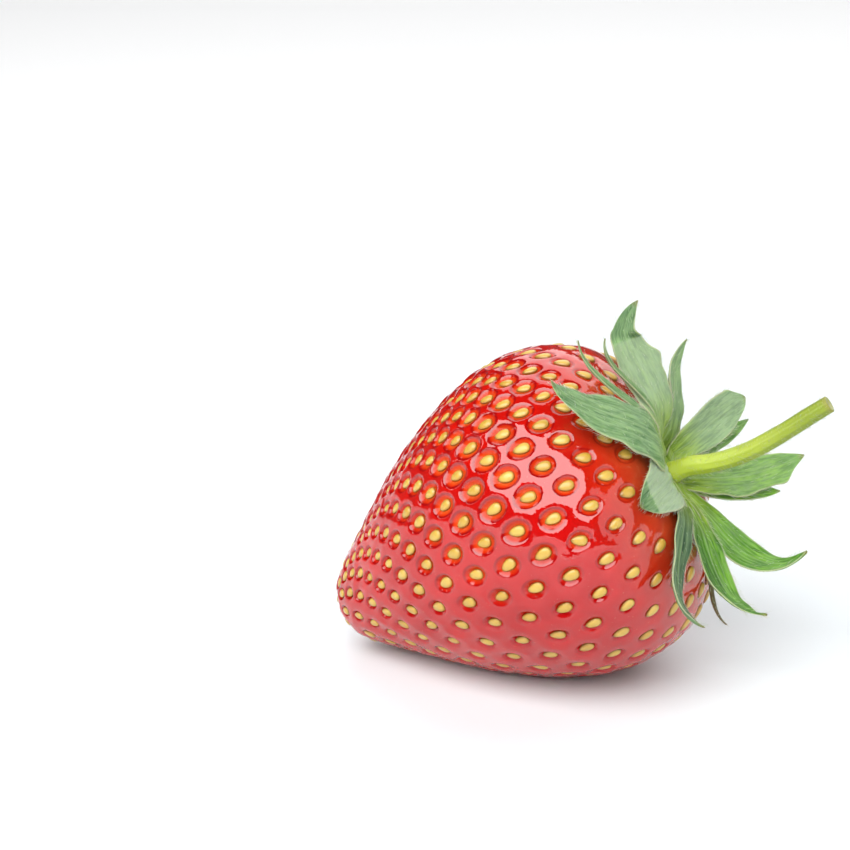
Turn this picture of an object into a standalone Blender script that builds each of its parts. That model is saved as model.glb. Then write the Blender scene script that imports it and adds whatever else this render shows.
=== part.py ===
"""A whole fresh strawberry with its green calyx and a length of stem, lying on its side.

Metres, +Z up.  The origin is the middle of the small flat spot that the berry rests on, and +X runs
from the berry's tip towards its stem end.  Shapes are first laid out in the berry's own frame, in
millimetres: x along the berry's axis towards the stem, y away to the side, z towards its upper flank.
"""

from collections import namedtuple

import bmesh
import bpy
import numpy as np
from mathutils import Vector
from mathutils.geometry import delaunay_2d_cdt

MM = 0.001

# ---- the berry's smooth body -------------------------------------------------------------------
# Half outline of the body from tip to stem end: (along the axis, radius), control points of a
# cubic B-spline.
OUTLINE = [
    (-25.2, 0.0),
    (-25.2, 3.3),
    (-19.9, 6.6),
    (-9.0, 14.6),
    (2.6, 19.0),
    (8.8, 18.0),
    (14.6, 15.7),
    (18.7, 7.5),
    (16.5, 0.0),
]
OUTLINE_SAMPLES = 900
DROOP = 0.0011  # the axis sags by this much per square millimetre along it
AXIS_RISE = np.radians(27.2)  # the stem end is carried above the tip
REST_SINK = 0.35  # depth of flesh pressed flat where the berry rests
REST_FADE = 0.6  # pits and achenes reach full relief this high above the flat spot

# ---- the hollow that the calyx sits in ---------------------------------------------------------
HOLLOW_DEPTH = 2.3
HOLLOW_FLOOR_RADIUS = 3.0
HOLLOW_RADIUS = 7.5

# ---- achenes, the seeds on the skin, set out along one spiral from the tip ----------------------
SPIRAL_TURN = np.radians(99.014)
FIRST_TURN = np.radians(115.5)
FIRST_COUNT = 0.24
SEEDS_PER_MM2 = 0.0854
TIP_CROWDING = 2.05  # how many times denser again at the very tip
CROWDED_LENGTH = 13.9
LAST_SEED_ARC = 51.0
SPIRAL_LEAN = 5.94  # rows run later on the underside, as on a berry that ripened hanging
SPIRAL_LEAN_TOWARDS = np.radians(248.6)
SPIRAL_WAVE = 1.33
SPIRAL_WAVE_PHASE = np.radians(252.4)
TURN_LEAN = 0.222
TURN_LEAN_TOWARDS = np.radians(36.5)
TURN_WAVE = 0.110
TURN_WAVE_PHASE = np.radians(118.2)
LEAN_CENTRE_ARC = 29.0
LEAN_REACH = 31.0
LEAST_SEED_GAP = 1.5

SEED_GAP_FOR_FULL_SIZE = 3.5
SEED_HALF_LENGTH = 0.86
SEED_HALF_WIDTH = 0.56
SEED_RISE = 0.48
SEED_CORNERS = (0.0, 68.0, 128.0, 232.0, 292.0)  # degrees from the end that points at the berry's tip
PIT_HALF_LENGTH = 1.72
PIT_HALF_WIDTH = 1.32
PIT_DEPTH = 0.62
PIT_DEPTH_AT_TIP = 0.30
PIT_DEPTH_AT_SHOULDER = 0.30
PIT_CORNERS = 6
RIM_POINT_GAP = 0.95
SHOULDER_RING_RADII = (9.6, 7.6, 5.6, 3.6, 1.7)  # rings of skin points round the stem end
SHOULDER_POINT_GAP = 2.2

# ---- stem ----------------------------------------------------------------------------------------
STEM_ROOT = (17.42, 0.0, -0.6)  # on the calyx's flat top
STEM_LENGTH = 18.3
STEM_BENDS = (-32.0, 4.0, 7.5)  # degrees off the axis, towards the upper flank: root, middle, cut end
STEM_STRAIGHT = 0.7  # it leaves the calyx squarely
STEM_SETTLE = 2.0  # and takes up its bend over this length
STEM_RINGS = 15
STEM_FLARE = [(0.0, 1.5), (0.7, 1.45), (1.6, 1.22), (3.0, 1.06)]  # (along, radius)
STEM_RADIUS = 1.0
STEM_CUT_RADIUS = 0.92

# ---- the calyx's cup, which the sepals and bracts grow from ---------------------------------------
CUP_PROFILE = [(15.1, 2.6), (15.8, 3.4), (16.8, 3.6), (17.2, 3.1), (17.4, 2.25)]  # (along the axis, radius)
CUP_SIDES = 28

# ---- sepals and bracts ---------------------------------------------------------------------------
LEAF_THICKNESS = 0.7
LEAF_ROOT_RADIUS = 3.2
LEAF_ROOT_SUNK = 1.2  # how far a blade's root runs on into the cup
LEAF_CLAW = 0.04  # how broad a blade's root is: larger is broader
LEAF_TIP_POWER = 0.8
LEAF_ROWS = 13
SEPAL_COLUMNS = 7
BRACT_COLUMNS = 5
TWIST_LENGTH = 0.5  # a twisted blade has its full twist from this share of its length

# root: how far along the axis it grows, the bracts in a ring under the sepals.  azimuth: round the
# axis, 90 is the upper flank and 180 the front.  rise: degrees above the calyx's plane at root,
# middle and tip.  turn: how far the midrib swings sideways by its tip.  cup: how far
# the edges stand up, as a share of the half width.  twist: degrees by the tip.  belly: where the
# blade is widest.  lobes: (place along, side, reach) of the teeth on its edges.
Leaf = namedtuple("Leaf", "name root azimuth rise turn length width cup twist belly lobes")
LEAVES = [
    Leaf("sepal_upper_front", 15.9, 147, (61, -23, 4), -25, 21.7, 5.6, -0.10, 0, 0.42, ()),
    Leaf("sepal_top", 16.9, 92, (46, 3, 50), 10, 16.8, 4.6, 0.15, -60, 0.50, ((0.55, 1, 0.9),)),
    Leaf("sepal_upper_back", 16.9, 14, (60, 34, 31), -16, 12.6, 5.0, 0.20, 0, 0.50, ()),
    Leaf("sepal_back", 16.9, 318, (47, 36, 77), 29, 16.0, 4.6, 0.20, 0, 0.50, ()),
    Leaf("sepal_lower_back", 16.9, 271, (26, 26, 120), -26, 17.3, 4.8, 0.20, 35, 0.50, ()),
    Leaf("sepal_underside", 16.9, 242, (37, -3, 80), -26, 19.8, 4.0, 0.20, 25, 0.45, ()),
    Leaf("sepal_front", 16.9, 178, (38, -7, -35), 9, 11.5, 4.4, 0.10, 0, 0.50, ()),
    Leaf("bract_upper_front", 16.9, 123, (38, -15, 26), -4, 18.5, 1.2, 0.20, 0, 0.35, ()),
    Leaf("bract_top", 15.9, 44, (60, 7, 54), -12, 14.4, 2.0, 0.30, 0, 0.35, ((0.55, -1, 0.35),)),
    Leaf("bract_upper_back", 15.9, 353, (47, 33, 27), 7, 13.5, 1.8, 0.20, 0, 0.50, ()),
    Leaf("bract_back", 15.9, 313, (43, 36, 47), 12, 13.3, 2.4, 0.20, 0, 0.50, ()),
    Leaf("bract_underside", 15.9, 208, (63, -22, 54), 23, 20.9, 2.3, 0.20, 0, 0.40, ()),
    Leaf("bract_withered", 15.9, 256, (84, -24, 60), -34, 18.7, 1.0, 0.20, 0, 0.40, ()),
]


# ---- curves and frames ---------------------------------------------------------------------------


def spline_points(controls, count):
    """Points along a clamped cubic B-spline."""
    degree = 3
    inner = np.linspace(0.0, 1.0, len(controls) - degree + 1)
    knots = np.concatenate([np.zeros(degree), inner, np.ones(degree)])
    u = np.linspace(0.0, 1.0 - 1e-9, count)[:, None]
    basis = ((knots[:-1] <= u) & (u < knots[1:])).astype(float)
    for k in range(1, degree + 1):
        rising = knots[k:-1] - knots[: -k - 1]
        falling = knots[k + 1 :] - knots[1:-k]
        up = (u - knots[: -k - 1]) / np.where(rising > 0, rising, 1.0) * (rising > 0)
        down = (knots[k + 1 :] - u) / np.where(falling > 0, falling, 1.0) * (falling > 0)
        basis = up * basis[:, :-1] + down * basis[:, 1:]
    return basis @ np.array(controls)


def through_three(values, t):
    """A parabola through values at 0, 1/2 and 1."""
    first, middle, last = values
    return first * (1 - t) * (1 - 2 * t) + middle * 4 * t * (1 - t) + last * t * (2 * t - 1)


def smooth_step(t):
    t = np.clip(t, 0.0, 1.0)
    return t * t * (3.0 - 2.0 * t)


class Body:
    """The smooth body, and a flat map of its skin that keeps small shapes undistorted.

    The map is a disc: the berry's tip is at its middle and a point's angle on it is its angle round
    the axis.  A distance on it is the distance on the skin times the map's scale there.
    """

    def __init__(self):
        self.x, self.r = spline_points(OUTLINE, OUTLINE_SAMPLES).T
        steps = np.hypot(np.diff(self.x), np.diff(self.r))
        self.middle_r = (self.r[1:] + self.r[:-1]) / 2
        self.steps = steps
        self.arc = np.concatenate([[0.0], np.cumsum(steps)])
        self.log_map = np.concatenate([[0.0], np.cumsum(steps / self.middle_r)])
        self.slope_x = np.gradient(self.x, self.arc)
        self.slope_r = np.gradient(self.r, self.arc)
        lowest = np.argmin(self.lying(self.point(self.arc, -np.pi / 2))[:, 2])
        self.rest = self.lying(self.point(self.arc[lowest], -np.pi / 2))

    def point(self, arc, turn):
        """Points of the skin at a distance from the tip and an angle round the axis."""
        x = np.interp(arc, self.arc, self.x)
        r = np.interp(arc, self.arc, self.r)
        side, flank = r * np.cos(turn), r * np.sin(turn)
        calyx = (r - HOLLOW_FLOOR_RADIUS) / (HOLLOW_RADIUS - HOLLOW_FLOOR_RADIUS)
        hollow = np.where(x > 0, HOLLOW_DEPTH * (1 - smooth_step(calyx)), 0.0)
        return np.stack([x - hollow, side, flank - DROOP * x * x], -1)

    def normal(self, arc, turn):
        across = np.interp(arc, self.arc, self.slope_x)
        along = -np.interp(arc, self.arc, self.slope_r)
        normal = np.stack([along, across * np.cos(turn), across * np.sin(turn)], -1)
        return normal / np.linalg.norm(normal, axis=-1, keepdims=True)

    def on_map(self, arc, turn):
        radius = np.exp(np.interp(arc, self.arc, self.log_map) - self.log_map[-1] / 2)
        return radius[..., None] * np.stack([np.cos(turn), np.sin(turn)], -1)

    def off_map(self, flat):
        radius = np.hypot(flat[..., 0], flat[..., 1])
        arc = np.interp(np.log(radius) + self.log_map[-1] / 2, self.log_map, self.arc)
        return arc, np.arctan2(flat[..., 1], flat[..., 0])

    def map_scale(self, arc):
        radius = np.exp(np.interp(arc, self.arc, self.log_map) - self.log_map[-1] / 2)
        return radius / np.maximum(np.interp(arc, self.arc, self.r), 1e-3)

    @staticmethod
    def lying(points):
        """The berry's frame turned to the pose it lies in."""
        along = np.array([np.cos(AXIS_RISE), 0.0, np.sin(AXIS_RISE)])
        side = np.array([0.0, 1.0, 0.0])
        flank = np.array([-np.sin(AXIS_RISE), 0.0, np.cos(AXIS_RISE)])
        return points @ np.array([along, side, flank])

    def placed(self, points):
        """The berry's frame in the part's own frame, still in millimetres."""
        return self.lying(points) - self.rest - np.array([0.0, 0.0, REST_SINK])


# ---- the berry -----------------------------------------------------------------------------------


def seed_places(body):
    """Every achene's distance from the tip and angle round the axis."""
    middles = (body.arc[1:] + body.arc[:-1]) / 2
    density = SEEDS_PER_MM2 * (1 + TIP_CROWDING * np.exp(-((middles / CROWDED_LENGTH) ** 2)))
    passed = np.cumsum(2 * np.pi * body.middle_r * body.steps * density)
    counted = np.concatenate([[0.0], passed])
    number = np.arange(int(counted[-1]))
    row = np.interp(number + FIRST_COUNT, counted, body.arc)
    turn = FIRST_TURN + SPIRAL_TURN * number
    reach = np.clip(1 - ((row - LEAN_CENTRE_ARC) / LEAN_REACH) ** 4, 0, 1)
    lean = SPIRAL_LEAN * np.cos(turn - SPIRAL_LEAN_TOWARDS)
    wave = SPIRAL_WAVE * np.cos(2 * turn - SPIRAL_WAVE_PHASE)
    arc = row + reach * (lean + wave)
    turn = (
        turn
        + TURN_LEAN * np.cos(turn - TURN_LEAN_TOWARDS)
        + TURN_WAVE * np.cos(2 * turn - TURN_WAVE_PHASE)
    )
    grown = arc < LAST_SEED_ARC
    arc, turn = arc[grown], turn[grown]
    kept = spaced_out(body.point(arc, turn), LEAST_SEED_GAP)
    return arc[kept], turn[kept]


def spaced_out(points, gap):
    """Which points to keep so that no two are closer than the gap, the earlier ones first."""
    kept = []
    for index, point in enumerate(points):
        if not kept or np.linalg.norm(points[kept] - point, axis=1).min() >= gap:
            kept.append(index)
    return np.array(kept)


class Seeds:
    """The achenes and their pits: places, sizes and the height that they give to the skin."""

    def __init__(self, body):
        self.body = body
        self.arc, self.turn = seed_places(body)
        self.place = body.point(self.arc, self.turn)
        self.flat = body.on_map(self.arc, self.turn)
        away = np.linalg.norm(self.place[:, None] - self.place[None], axis=2)
        np.fill_diagonal(away, np.inf)
        gap = np.sort(away, axis=1)[:, :3].mean(axis=1)
        self.size = np.clip(gap / SEED_GAP_FOR_FULL_SIZE, 0.55, 1.0)
        at_tip = smooth_step(self.arc / 14.0)
        at_shoulder = smooth_step((self.arc - 36.0) / 14.0)
        depth = PIT_DEPTH_AT_TIP + (PIT_DEPTH - PIT_DEPTH_AT_TIP) * at_tip
        self.depth = depth + (PIT_DEPTH_AT_SHOULDER - PIT_DEPTH) * at_shoulder

    def around(self, along, across):
        """Map points at an offset from every achene, in its own size: (achene, offset, 2)."""
        outward = self.flat / np.linalg.norm(self.flat, axis=1, keepdims=True)
        sideways = np.stack([-outward[:, 1], outward[:, 0]], -1)
        scale = (self.body.map_scale(self.arc) * self.size)[:, None, None]
        return self.flat[:, None] + scale * (
            along[None, :, None] * outward[:, None] + across[None, :, None] * sideways[:, None]
        )

    def pit_height(self, arc, turn):
        """How far the pits sink the skin at some points, in millimetres."""
        points = self.body.point(arc, turn)
        sideways = np.stack([0 * turn, -np.sin(turn), np.cos(turn)], -1)
        height = np.zeros(len(points))
        for place, size, depth in zip(self.place, self.size, self.depth):
            offset = points - place
            across = np.einsum("ij,ij->i", offset, sideways)
            along = np.sqrt(np.maximum(np.einsum("ij,ij->i", offset, offset) - across**2, 0))
            out = np.hypot(along / (PIT_HALF_LENGTH * size), across / (PIT_HALF_WIDTH * size))
            bowl = (1 - np.minimum(out, 1.0) ** 3) ** 2
            height = np.minimum(height, -depth * bowl)
        return height


def skin_points(body, seeds):
    """Map points of the berry's skin, and how high each stands on its pit's floor."""
    corners = np.radians(SEED_CORNERS)
    seed_edge = seeds.around(
        -SEED_HALF_LENGTH * np.cos(corners), SEED_HALF_WIDTH * np.sin(corners)
    ).reshape(-1, 2)
    crown = seeds.around(np.array([-0.05]), np.array([0.0])).reshape(-1, 2)
    corners = np.arange(PIT_CORNERS) * 2 * np.pi / PIT_CORNERS
    rim = seeds.around(
        PIT_HALF_LENGTH * np.cos(corners), PIT_HALF_WIDTH * np.sin(corners)
    ).reshape(-1, 2)
    rim_place = body.point(*body.off_map(rim))
    rim = rim[spaced_out(rim_place, RIM_POINT_GAP)]
    own_place = body.point(*body.off_map(np.concatenate([seed_edge, crown])))
    rim_place = body.point(*body.off_map(rim))
    away = np.linalg.norm(rim_place[:, None] - own_place[None], axis=2).min(axis=1)
    rim = rim[away > 0.45]
    rings = shoulder_points(body)
    flat = np.concatenate([crown, seed_edge, rim, rings])
    rise = np.zeros(len(flat))
    rise[: len(crown)] = SEED_RISE * seeds.size
    return flat, rise


def shoulder_points(body):
    """Rings of map points round the stem end, where no achenes grow."""
    rings = []
    past_widest = body.arc > body.arc[np.argmax(body.r)]
    for radius in SHOULDER_RING_RADII:
        arc = np.interp(-radius, -body.r[past_widest], body.arc[past_widest])
        count = max(6, int(2 * np.pi * radius / SHOULDER_POINT_GAP))
        turn = (np.arange(count) + 0.37 * len(rings)) * 2 * np.pi / count
        rings.append(body.on_map(np.full(count, arc), turn))
    return np.concatenate(rings)


def rested(body, smooth, relief):
    """Skin points placed in the part's frame and pressed flat where the berry rests."""
    base = body.placed(smooth)
    fade = np.clip(base[:, 2:] / REST_FADE, 0, 1)
    points = base + fade * (body.placed(smooth + relief) - base)
    points[:, 2] = np.maximum(points[:, 2], 0.0)
    return points


def make_berry(body, collection):
    seeds = Seeds(body)
    flat, rise = skin_points(body, seeds)
    arc, turn = body.off_map(flat)
    height = seeds.pit_height(arc, turn) + rise
    smooth = body.point(arc, turn)
    relief = height[:, None] * body.normal(arc, turn)
    points = rested(body, smooth, relief)

    triangles = delaunay_2d_cdt([Vector(p) for p in flat], [], [], 0, 1e-7)[2]
    pole = body.point(body.arc[-1:], np.zeros(1))
    points = np.concatenate([points, body.placed(pole)])
    faces = [tuple(reversed(face)) for face in triangles]
    last_ring = open_edges(faces)
    faces += [(b, a, len(points) - 1) for a, b in last_ring]
    return mesh_object("berry", points, faces, collection)


def open_edges(faces):
    """Directed edges that only one face uses."""
    edges = {(a, b) for face in faces for a, b in zip(face, face[1:] + face[:1])}
    return [edge for edge in edges if (edge[1], edge[0]) not in edges]


# ---- calyx and stem ------------------------------------------------------------------------------


def leaf_directions(leaf, t):
    """Along the midrib, and the blade's upper normal and side there, in the berry's frame."""
    azimuth = np.radians(leaf.azimuth)
    swing = np.radians(leaf.turn) * t
    rise = np.radians(through_three(leaf.rise, t))[:, None]
    outward = np.stack([0 * t, np.cos(azimuth + swing), np.sin(azimuth + swing)], -1)
    axis = np.array([1.0, 0.0, 0.0])
    along = np.cos(rise) * outward + np.sin(rise) * axis
    normal = np.cos(rise) * axis - np.sin(rise) * outward
    side = np.cross(along, normal)
    twist = np.radians(leaf.twist * smooth_step(t / TWIST_LENGTH))[:, None]
    turned_normal = np.cos(twist) * normal + np.sin(twist) * side
    turned_side = np.cos(twist) * side - np.sin(twist) * normal
    return along, turned_normal, turned_side


def leaf_half_width(leaf, t, side):
    """The blade's half width on one side (1 or -1): a claw at the root, a belly and a drawn tip."""
    root_power = LEAF_TIP_POWER * leaf.belly / (1 - leaf.belly)
    shape = (t + LEAF_CLAW) ** root_power * (1 - t) ** LEAF_TIP_POWER
    peak = (leaf.belly + LEAF_CLAW) ** root_power * (1 - leaf.belly) ** LEAF_TIP_POWER
    width = leaf.width / 2 * shape / peak
    for place, lobe_side, reach in leaf.lobes:
        if lobe_side == side:
            width = width + reach * np.maximum(0, 1 - np.abs(t - place) / 0.12)
    return width


def leaf_grid(leaf, columns):
    """Rows of points across the blade from its root to just short of its tip, and the tip."""
    t = np.linspace(0, 1, LEAF_ROWS)
    steps = (t[1:] + t[:-1]) / 2
    along, _, _ = leaf_directions(leaf, steps)
    azimuth = np.radians(leaf.azimuth)
    outward = np.array([0.0, np.cos(azimuth), np.sin(azimuth)])
    root = np.array([leaf.root, 0.0, 0.0]) + LEAF_ROOT_RADIUS * outward
    stride = leaf.length / (LEAF_ROWS - 1)
    midrib = root + np.concatenate([np.zeros((1, 3)), np.cumsum(along * stride, axis=0)])
    _, normal, side = leaf_directions(leaf, t)
    rows = []
    for v in np.linspace(-1, 1, columns):
        half = leaf_half_width(leaf, t, np.sign(v))[:, None]
        rows.append(midrib + side * v * half + normal * leaf.cup * v * v * half)
    grid = np.stack(rows, 1)[:-1]
    return np.concatenate([grid[:1] - LEAF_ROOT_SUNK * outward, grid]), midrib[-1]


def make_leaf(body, leaf, collection):
    columns = SEPAL_COLUMNS if leaf.name.startswith("sepal") else BRACT_COLUMNS
    grid, tip = leaf_grid(leaf, columns)
    rows = len(grid)
    points = np.concatenate([grid.reshape(-1, 3), tip[None]])
    index = np.arange(rows * columns).reshape(rows, columns)
    faces = []
    for row in range(rows - 1):
        for column in range(columns - 1):
            a, b = index[row, column], index[row, column + 1]
            d, c = index[row + 1, column], index[row + 1, column + 1]
            halves = [(a, b, c), (a, c, d)] if column < (columns - 1) / 2 else [(a, b, d), (b, c, d)]
            faces += halves
    faces += [(index[-1, k], index[-1, k + 1], rows * columns) for k in range(columns - 1)]
    blade = mesh_object(leaf.name, body.placed(points), faces, collection)
    shell = blade.modifiers.new("Thickness", "SOLIDIFY")
    shell.thickness = LEAF_THICKNESS * MM
    shell.offset = 0.0
    return blade


def make_cup(body, collection):
    """A turned body about the berry's axis, closed at both ends."""
    turn = np.arange(CUP_SIDES) * 2 * np.pi / CUP_SIDES
    rings = [np.stack([x + 0 * turn, r * np.cos(turn), r * np.sin(turn)], -1) for x, r in CUP_PROFILE]
    ends = [np.array([[x, 0.0, 0.0]]) for x, _ in (CUP_PROFILE[0], CUP_PROFILE[-1])]
    points = np.concatenate(rings + ends)
    low, high = len(points) - 2, len(points) - 1
    last = (len(rings) - 1) * CUP_SIDES
    faces = []
    for k in range(CUP_SIDES):
        after = (k + 1) % CUP_SIDES
        faces.append((low, after, k))
        faces.append((high, last + k, last + after))
        for ring in range(0, last, CUP_SIDES):
            a, b = ring + k, ring + after
            faces += [(a, b, b + CUP_SIDES), (a, b + CUP_SIDES, a + CUP_SIDES)]
    return mesh_object("calyx", body.placed(points), faces, collection)


def make_calyx(body, collection):
    """The cup with every sepal and bract grown into it as one body."""
    calyx = make_cup(body, collection)
    blades = bpy.data.collections.new("blades")
    collection.children.link(blades)
    for leaf in LEAVES:
        make_leaf(body, leaf, blades)
    join = calyx.modifiers.new("Grown together", "BOOLEAN")
    join.operation = "UNION"
    join.operand_type = "COLLECTION"
    join.collection = blades
    join.solver = "MANIFOLD"
    graph = bpy.context.evaluated_depsgraph_get()
    joined = bpy.data.meshes.new_from_object(calyx.evaluated_get(graph))
    calyx.modifiers.clear()
    calyx.data = joined
    joined.name = "calyx"
    for blade in list(blades.objects):
        bpy.data.objects.remove(blade)
    bpy.data.collections.remove(blades)
    return calyx


def make_stem(body, collection):
    along = np.unique([*np.linspace(0, STEM_LENGTH, STEM_RINGS), *[place for place, _ in STEM_FLARE]])
    middles = (along[1:] + along[:-1]) / 2
    bend = np.radians(through_three(STEM_BENDS, middles / STEM_LENGTH))
    bend = bend * smooth_step((middles - STEM_STRAIGHT) / STEM_SETTLE)
    headings = np.stack([np.cos(bend), 0 * bend, np.sin(bend)], -1)
    strides = np.cumsum(headings * np.diff(along)[:, None], axis=0)
    path = np.array(STEM_ROOT) + np.concatenate([np.zeros((1, 3)), strides])
    places, radii = zip(*STEM_FLARE, (STEM_LENGTH / 2, STEM_RADIUS), (STEM_LENGTH, STEM_CUT_RADIUS))
    radius = np.interp(along, places, radii)

    curve = bpy.data.curves.new("stem", "CURVE")
    curve.dimensions = "3D"
    curve.bevel_depth = MM
    curve.bevel_resolution = 3
    curve.use_fill_caps = True
    spline = curve.splines.new("POLY")
    spline.points.add(len(along) - 1)
    for spline_point, place, size in zip(spline.points, body.placed(path) * MM, radius):
        spline_point.co = (*place, 1.0)
        spline_point.radius = size
    stem = bpy.data.objects.new("stem", curve)
    collection.objects.link(stem)
    return stem


# ---- objects and materials -----------------------------------------------------------------------


def mesh_object(name, points, faces, collection):
    """A mesh from points in millimetres and its faces."""
    mesh = bpy.data.meshes.new(name)
    build = bmesh.new()
    vertices = [build.verts.new(point * MM) for point in points]
    for face in faces:
        build.faces.new([vertices[i] for i in face])
    build.to_mesh(mesh)
    build.free()
    mesh.shade_smooth()
    made = bpy.data.objects.new(name, mesh)
    collection.objects.link(made)
    return made


def finish(thing, name, colour, roughness):
    material = bpy.data.materials.new(name)
    material.use_nodes = True
    shader = material.node_tree.nodes["Principled BSDF"]
    shader.inputs["Base Color"].default_value = (*colour, 1.0)
    shader.inputs["Roughness"].default_value = roughness
    shader.inputs["Metallic"].default_value = 0.0
    thing.data.materials.append(material)


def main():
    for old in list(bpy.data.objects):
        bpy.data.objects.remove(old)
    collection = bpy.data.collections.new("strawberry")
    bpy.context.scene.collection.children.link(collection)

    body = Body()
    finish(make_berry(body, collection), "ripe_skin", (0.60, 0.012, 0.008), 0.18)
    finish(make_calyx(body, collection), "calyx_green", (0.20, 0.38, 0.14), 0.6)
    finish(make_stem(body, collection), "stem_green", (0.42, 0.52, 0.06), 0.45)


main()
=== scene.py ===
"""The strawberry dressed: fine skin, seeds, calyx, stem, hairs, materials, light and camera.

Shapes are laid out as in the part's source, in the berry's own frame and in millimetres: x along the
berry's axis towards the stem, y away to the side, z towards its upper flank.  "Arc" is the distance
from the berry's tip along its skin.
"""

from collections import namedtuple

import bpy
import numpy as np
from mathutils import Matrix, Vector
from mathutils.geometry import delaunay_2d_cdt

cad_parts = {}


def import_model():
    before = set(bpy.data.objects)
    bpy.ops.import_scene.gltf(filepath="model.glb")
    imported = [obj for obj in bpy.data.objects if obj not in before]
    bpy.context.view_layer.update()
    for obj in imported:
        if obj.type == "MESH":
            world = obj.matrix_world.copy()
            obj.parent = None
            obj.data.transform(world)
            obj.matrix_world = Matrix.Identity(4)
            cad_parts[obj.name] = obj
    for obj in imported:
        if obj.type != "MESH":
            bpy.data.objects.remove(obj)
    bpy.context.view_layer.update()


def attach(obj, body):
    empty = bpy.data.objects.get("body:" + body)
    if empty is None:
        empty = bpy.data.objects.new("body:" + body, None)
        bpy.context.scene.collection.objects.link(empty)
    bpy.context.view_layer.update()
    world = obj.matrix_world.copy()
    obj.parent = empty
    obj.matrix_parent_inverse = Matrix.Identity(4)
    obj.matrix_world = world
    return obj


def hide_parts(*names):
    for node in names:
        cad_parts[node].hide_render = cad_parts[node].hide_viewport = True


MM = 0.001

# ---- the berry's smooth body, as in the part ----
OUTLINE = [
    (-25.2, 0.0), (-25.2, 3.3), (-19.9, 6.6), (-9.0, 14.6), (2.6, 19.0), (8.8, 18.0),
    (14.6, 15.7), (18.7, 7.5), (16.5, 0.0),
]
OUTLINE_SAMPLES = 1600
DROOP = 0.0011
AXIS_RISE = np.radians(27.2)
REST_SINK = 0.35
REST_FADE = 0.6
HOLLOW_DEPTH = 2.3
HOLLOW_FLOOR_RADIUS = 3.0
HOLLOW_RADIUS = 7.5

# ---- seeds, as in the part ----
SPIRAL_TURN = np.radians(99.014)
FIRST_TURN = np.radians(115.5)
FIRST_COUNT = 0.24
SEEDS_PER_MM2 = 0.0854
TIP_CROWDING = 2.05
CROWDED_LENGTH = 13.9
LAST_SEED_ARC = 51.0
SPIRAL_LEAN = 5.94
SPIRAL_LEAN_TOWARDS = np.radians(248.6)
SPIRAL_WAVE = 1.33
SPIRAL_WAVE_PHASE = np.radians(252.4)
TURN_LEAN = 0.222
TURN_LEAN_TOWARDS = np.radians(36.5)
TURN_WAVE = 0.11
TURN_WAVE_PHASE = np.radians(118.2)
LEAN_CENTRE_ARC = 29.0
LEAN_REACH = 31.0
LEAST_SEED_GAP = 1.5
SEED_GAP_FOR_FULL_SIZE = 3.0
SMALLEST_SEED = 0.78
SEED_HALF_LENGTH = 0.92
SEED_HALF_WIDTH = 0.58

# ---- pits: full size over most of the upper flank, smaller or shallower elsewhere ----
PIT_HALF_LENGTH = 1.72
PIT_HALF_WIDTH = 1.32
PIT_DEPTH = 0.5
PIT_DEPTH_AT_TIP = 0.42
TIP_ARC = 14.0
PIT_DEPTH_AT_SHOULDER = 0.18
SHOULDER_ARCS = (36.0, 50.0)  # pits get shallow from the first to the second
PIT_SIZE_AT_TIP = 0.72
PIT_OPENING_ARCS = (12.0, 34.0)
PIT_SIZE_AT_SHOULDER = 0.78
PIT_CLOSING_ARCS = (36.0, 46.0)
PIT_SIZE_BELOW = 0.8
UPPER_FLANK = (-0.6, 0.4)  # sine of the turn from which a pit is on the upper flank

# ---- fine skin ----
PIT_RINGS = (0.16, 0.32, 0.46, 0.57, 0.66, 0.74, 0.82, 0.89, 0.95, 1.01, 1.08, 1.17)
PIT_RING_POINTS = 20
SPARSE_RING = 0.3  # rings nearer the middle than this have half the points
PIT_FLOOR = 0.08  # the pit is flat out to this share of its half size, under the seed
PIT_WALL_POWER = 1.15  # nearer to 1, a crisper rim
NEXT_PIT_GAP = 0.07  # a ring's points stop this far from where the next pit takes over
LIP_HEIGHT = 0.05  # skin swells a little round each pit
LIP_PLACE = 1.12
LIP_WIDTH = 0.17
PILLOW_HEIGHT = 0.2  # and a little more between them
PILLOW_REACH = 0.9
SKIN_GAP = 0.52  # between the points that fill the skin between pits
SKIN_ROW_GAP = SKIN_GAP * 0.87
FIRST_SKIN_ARC = 0.35
FILL_CLEARANCE = 0.12
SKIN_RIPPLES = ((3.6, 0.05), (1.3, 0.012))  # (wavelength, height)
LAST_SKIN_RADIUS = 0.6
FARTHEST_OUT = 2.0  # in half sizes of a pit, all that the colours need

# ---- fine seeds ----
SEED_HALF_HEIGHT = 0.42
SEED_LIFT = 0.14  # its middle over the pit's floor
SEED_LIFT_AT_TIP = 0.2  # and more than that near the tip
SEED_LIFT_FADE_ARC = 26.0
SEED_TAPER = 0.26
SEED_FULLNESS = 0.9  # below 1, blunter than an ellipsoid
SEED_RIDGE = 0.1
SEED_POINT = (-1.06, 0.04)  # where it ends, in half lengths, and how high
SEED_BLUNT_END = (0.99, 0.0)
SEED_SWING = 0.13  # radians, off the line to the berry's tip
SEED_SIZES = (0.92, 1.06)
SEED_OVER_GROUND = 0.02
SEED_RINGS = 11
SEED_SIDES = 14

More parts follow.
